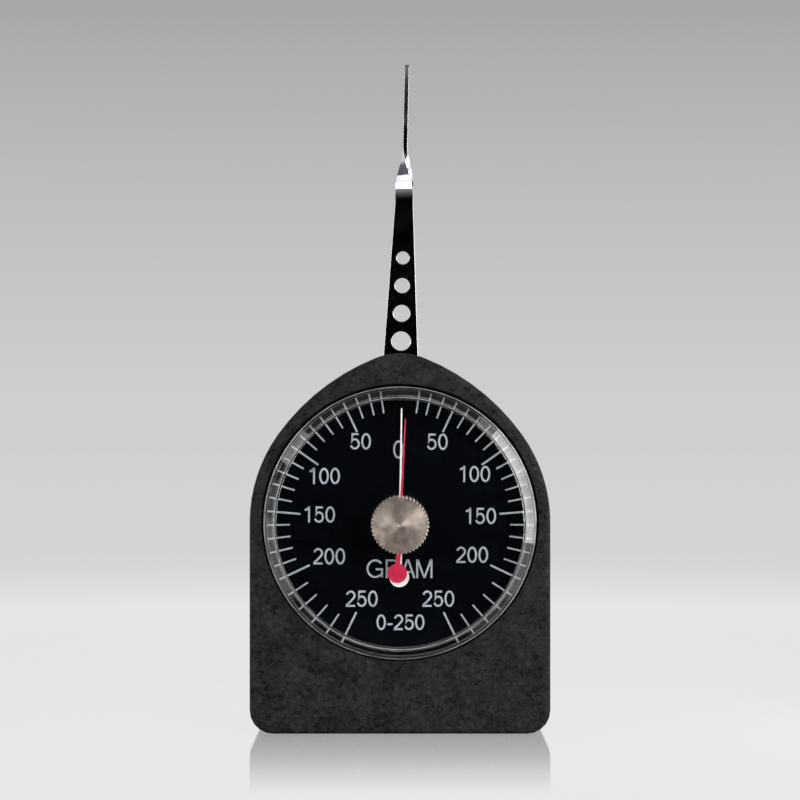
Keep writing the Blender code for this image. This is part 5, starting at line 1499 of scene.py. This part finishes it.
@dataclass(frozen=True)
class StudioFloor:
    """A pale matt floor, lit like a sweep, with a short mirror image round the case and a strip of
    painted shade at its foot.
    """

    radius: float = 3.0
    sides: int = 96
    roughness: float = 0.9
    # Tones and the glow go by the distance from the gauge, in shares of the radius.
    tones: Stops = (
        (0.096, "#E9E9E9"), (0.112, "#E2E2E2"), (0.128, "#DDDDDD"), (0.150, "#D7D7D7"),
        (0.185, "#D4D4D4"), (0.36, "#D3D3D3"), (0.87, "#D0D0D0"), (1.0, "#CECECE"),
    )
    glow: Flat = (0.9, 1.0)
    glow_limits: Flat = (0.07, 0.14)
    # Painted shade: a dark strip at the case's foot, seen only by reflections, stands in for the contact
    # shadow there.
    strip_tone: str = "#1A1A1A"
    strip_half_width: Flat = (55 * MM, 70 * MM)
    strip_place: float = -13.5 * MM
    strip_half_depth: Flat = (5 * MM, 7 * MM)
    # Half the case's footprint, outside which the mirror image fades over its reach.
    footprint: Flat = (27 * MM, 10 * MM)
    mirror_reach: float = 72 * MM
    mirror_gain: float = 1.3
    mirror_ior: float = 1.5
    mirror_roughness: float = 0.06
    mirror_fade: Stops = (
        (0.0, "#FFFFFF"), (0.215, "#F4F4F4"), (0.32, "#EBEBEB"), (0.456, "#DDDDDD"),
        (0.615, "#BABABA"), (0.768, "#969696"), (0.911, "#585858"), (1.0, "#000000"),
    )

    def strip(self, tree: Tree, where: Socket) -> Socket:
        """Finds the strip of painted shade at the case's foot.

        Args:
            tree: The material's node tree.
            where: Position in the frame.

        Returns:
            How far each point belongs to it.
        """
        place = add_node(tree, "ShaderNodeSeparateXYZ", {0: where})
        off = {0: place.outputs["Y"], 1: self.strip_place}
        depth = add_node(tree, "ShaderNodeMath", off, operation="SUBTRACT").outputs[0]
        share: Socket | float = 1.0
        limits = ((place.outputs["X"], self.strip_half_width), (depth, self.strip_half_depth))
        for value, (start, end) in limits:
            apart = add_node(tree, "ShaderNodeMath", {0: value}, operation="ABSOLUTE").outputs[0]
            fall = {"Value": apart, "From Min": start, "From Max": end, "To Min": 1.0, "To Max": 0.0}
            inside = add_node(tree, "ShaderNodeMapRange", fall)
            both = {0: share, 1: inside.outputs["Result"]}
            share = add_node(tree, "ShaderNodeMath", both, operation="MULTIPLY").outputs[0]
        return share

    def mirror_share(self, tree: Tree, where: Socket) -> Socket:
        """Works out how strongly the floor mirrors.

        Args:
            tree: The material's node tree.
            where: Position in the frame.

        Returns:
            The mirror's share at each point.
        """
        apart = add_node(tree, "ShaderNodeVectorMath", {0: where}, operation="ABSOLUTE").outputs[0]
        beyond = {0: apart, 1: (*self.footprint, 0.0)}
        outside = add_node(tree, "ShaderNodeVectorMath", beyond, operation="SUBTRACT").outputs[0]
        kept = {0: outside, 1: (0.0, 0.0, 0.0)}
        clipped = add_node(tree, "ShaderNodeVectorMath", kept, operation="MAXIMUM").outputs[0]
        gap = add_node(tree, "ShaderNodeVectorMath", {0: clipped}, operation="LENGTH")
        fade = {"Value": gap.outputs["Value"], "From Max": self.mirror_reach}
        along = add_node(tree, "ShaderNodeMapRange", fade).outputs["Result"]
        near = add_node(tree, "ShaderNodeValToRGB", {"Fac": along}, self.mirror_fade)
        fresnel = add_node(tree, "ShaderNodeFresnel", {"IOR": self.mirror_ior}).outputs[0]
        grazing = {0: fresnel, 1: near.outputs["Color"]}
        strong = add_node(tree, "ShaderNodeMath", grazing, operation="MULTIPLY").outputs[0]
        gained = {0: strong, 1: self.mirror_gain}
        return add_node(tree, "ShaderNodeMath", gained, operation="MULTIPLY", use_clamp=True).outputs[0]

    def matt(self, tree: Tree, where: Socket) -> Socket:
        """Makes the matt surface, which glows to the camera and to reflections.

        Args:
            tree: The material's node tree.
            where: Position in the frame.

        Returns:
            The matt shader.
        """
        far = add_node(tree, "ShaderNodeVectorMath", {0: where}, operation="LENGTH").outputs["Value"]
        share = {"Value": far, "From Max": self.radius}
        away = add_node(tree, "ShaderNodeMapRange", share).outputs["Result"]
        pale = add_node(tree, "ShaderNodeValToRGB", {"Fac": away}, self.tones).outputs["Color"]
        path = add_node(tree, "ShaderNodeLightPath")
        # Painted shade: reflections see the floor dark in the strip at the case's foot.
        mirrored = {0: self.strip(tree, where), 1: path.outputs["Is Glossy Ray"]}
        foot = add_node(tree, "ShaderNodeMath", mirrored, operation="MULTIPLY").outputs[0]
        toned = {0: foot, 6: pale, 7: linear(self.strip_tone)}
        colour = add_node(tree, "ShaderNodeMix", toned, data_type="RGBA").outputs[2]
        base = tree.nodes["Principled BSDF"]
        tree.links.new(colour, base.inputs["Base Color"])
        base.inputs["Roughness"].default_value = self.roughness
        base.inputs["Specular IOR Level"].default_value = 0.0
        direct = path.outputs["Is Camera Ray"]
        for ray in ("Is Glossy Ray", "Is Transmission Ray"):
            either = {0: direct, 1: path.outputs[ray]}
            direct = add_node(tree, "ShaderNodeMath", either, operation="MAXIMUM").outputs[0]
        (start, end), (low, high) = self.glow_limits, self.glow
        reach = {"Value": away, "From Min": start, "From Max": end, "To Min": low, "To Max": high}
        glowing = add_node(tree, "ShaderNodeMapRange", reach).outputs["Result"]
        lit = {0: direct, 1: glowing}
        glow_share = add_node(tree, "ShaderNodeMath", lit, operation="MULTIPLY").outputs[0]
        glow = add_node(tree, "ShaderNodeEmission", {"Color": colour}).outputs[0]
        mixed = {0: glow_share, 1: base.outputs[0], 2: glow}
        return add_node(tree, "ShaderNodeMixShader", mixed).outputs[0]

    def material(self) -> bpy.types.Material:
        """Joins the matt surface and the mirror image.

        Returns:
            The material.
        """
        material = bpy.data.materials.new("studio_floor")
        material.use_nodes = True
        tree = material.node_tree
        where = add_node(tree, "ShaderNodeTexCoord").outputs["Object"]
        glaze = {"Color": linear("#FFFFFF"), "Roughness": self.mirror_roughness}
        mirror = add_node(tree, "ShaderNodeBsdfAnisotropic", glaze).outputs[0]
        joined = {0: self.mirror_share(tree, where), 1: self.matt(tree, where), 2: mirror}
        surface = add_node(tree, "ShaderNodeMixShader", joined).outputs[0]
        tree.links.new(surface, tree.nodes["Material Output"].inputs["Surface"])
        return material

    def build(self) -> None:
        """Lays the floor under the case."""
        mesh = bmesh.new()
        bmesh.ops.create_circle(mesh, cap_ends=True, segments=self.sides, radius=self.radius)
        floor = studio_piece("floor", mesh, self.material())


@dataclass(frozen=True)
class FrontFlag:
    """A black card on the floor in front of the gauge, which only reflections see."""

    tone: str = "#0A0A0B"
    near: float = -95 * MM
    far: float = -2.95
    half_width: float = 0.4
    height: float = 1 * MM

    def build(self) -> None:
        """Lays the card."""
        paper = bpy.data.materials.new("black_card")
        paper.use_nodes = True
        shader = paper.node_tree.nodes["Principled BSDF"]
        shader.inputs["Base Color"].default_value = linear(self.tone)
        shader.inputs["Specular IOR Level"].default_value = 0.0
        mesh = bmesh.new()
        sides = ((-self.half_width, self.far), (self.half_width, self.far))
        sides += ((self.half_width, self.near), (-self.half_width, self.near))
        mesh.faces.new([mesh.verts.new((x, y, self.height)) for x, y in sides])
        card = studio_piece("front_flag", mesh, paper)
        card.visible_camera = False
        card.visible_diffuse = False
        card.visible_shadow = False


@dataclass
class Studio:
    """A pale floor, a soft grey surround, softboxes and the camera."""

    view_distance: float = 460 * MM
    view_height: float = 68.8 * MM
    view_width: float = 164.6 * MM
    case_front: float = -10.1 * MM
    sensor_mm: float = 36.0
    nearest: float = 0.01
    farthest: float = 20.0
    # The wall's tone by height: wall_top is the part of a unit direction that points up.
    wall_top: float = 0.45
    wall_tones: Stops = (
        (0.0, "#CFCFCF"), (0.2, "#BEBEBE"), (0.34, "#AEAEAE"), (0.375, "#A8A8A8"), (1.0, "#A4A4A4"),
    )
    fill: str = "#A9ABAE"
    room: MirroredRoom = MirroredRoom()

    def camera(self) -> None:
        """Sets the camera level, straight in front of the dial."""
        data = bpy.data.cameras.new("camera")
        data.sensor_width = self.sensor_mm
        data.lens = self.sensor_mm * self.view_distance / self.view_width
        data.clip_start = self.nearest
        data.clip_end = self.farthest
        camera = bpy.data.objects.new("camera", data)
        bpy.context.scene.collection.objects.link(camera)
        camera.location = (0.0, self.case_front - self.view_distance, self.view_height)
        camera.rotation_euler = (math.pi / 2, 0.0, 0.0)
        bpy.context.scene.camera = camera

    def surround(self) -> None:
        """Paints the world: a pale wall that darkens upwards, and the room for reflections."""
        world = bpy.data.worlds.new("surround")
        world.use_nodes = True
        bpy.context.scene.world = world
        tree = world.node_tree
        way = add_node(tree, "ShaderNodeTexCoord").outputs["Generated"]
        parts = add_node(tree, "ShaderNodeSeparateXYZ", {0: way})
        rise = {"Value": parts.outputs["Z"], "From Max": self.wall_top}
        up = add_node(tree, "ShaderNodeMapRange", rise).outputs["Result"]
        wall = add_node(tree, "ShaderNodeValToRGB", {"Fac": up}, self.wall_tones).outputs["Color"]
        path = add_node(tree, "ShaderNodeLightPath")
        seen = {0: path.outputs["Is Camera Ray"], 1: path.outputs["Is Transmission Ray"]}
        direct = add_node(tree, "ShaderNodeMath", seen, operation="MAXIMUM").outputs[0]
        plain = {0: direct, 6: linear(self.fill), 7: wall}
        open_view = add_node(tree, "ShaderNodeMix", plain, data_type="RGBA").outputs[2]
        chosen = {0: path.outputs["Is Glossy Ray"], 6: open_view, 7: self.room.paint(tree, parts)}
        colour = add_node(tree, "ShaderNodeMix", chosen, data_type="RGBA").outputs[2]
        tree.links.new(colour, tree.nodes["Background"].inputs["Color"])

    def build(self) -> None:
        """Sets the whole studio up."""
        bpy.context.scene.view_settings.view_transform = "Standard"
        self.camera()
        self.surround()
        StudioFloor().build()
        FrontFlag().build()
        for box in SOFTBOXES:
            box.build()


def main() -> None:
    """Builds the gauge round its frame, then the studio."""
    logging.basicConfig(level=logging.INFO, format="%(message)s")
    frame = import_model()
    nodes = frame["nodes"]
    joints = {joint["name"]: joint for joint in frame["joints"]}
    pivot = Vector(joints["lever_swing"]["pos_m"])
    Movement().build(nodes)
    Casing().build(nodes)
    DialFace().build(nodes)
    CrystalCup().build(nodes)
    Pointers().build(nodes)
    ResetKnob().build(nodes)
    LeverBlade().build(nodes, pivot)
    Studio().build()


if __name__ == "__main__":
    main()
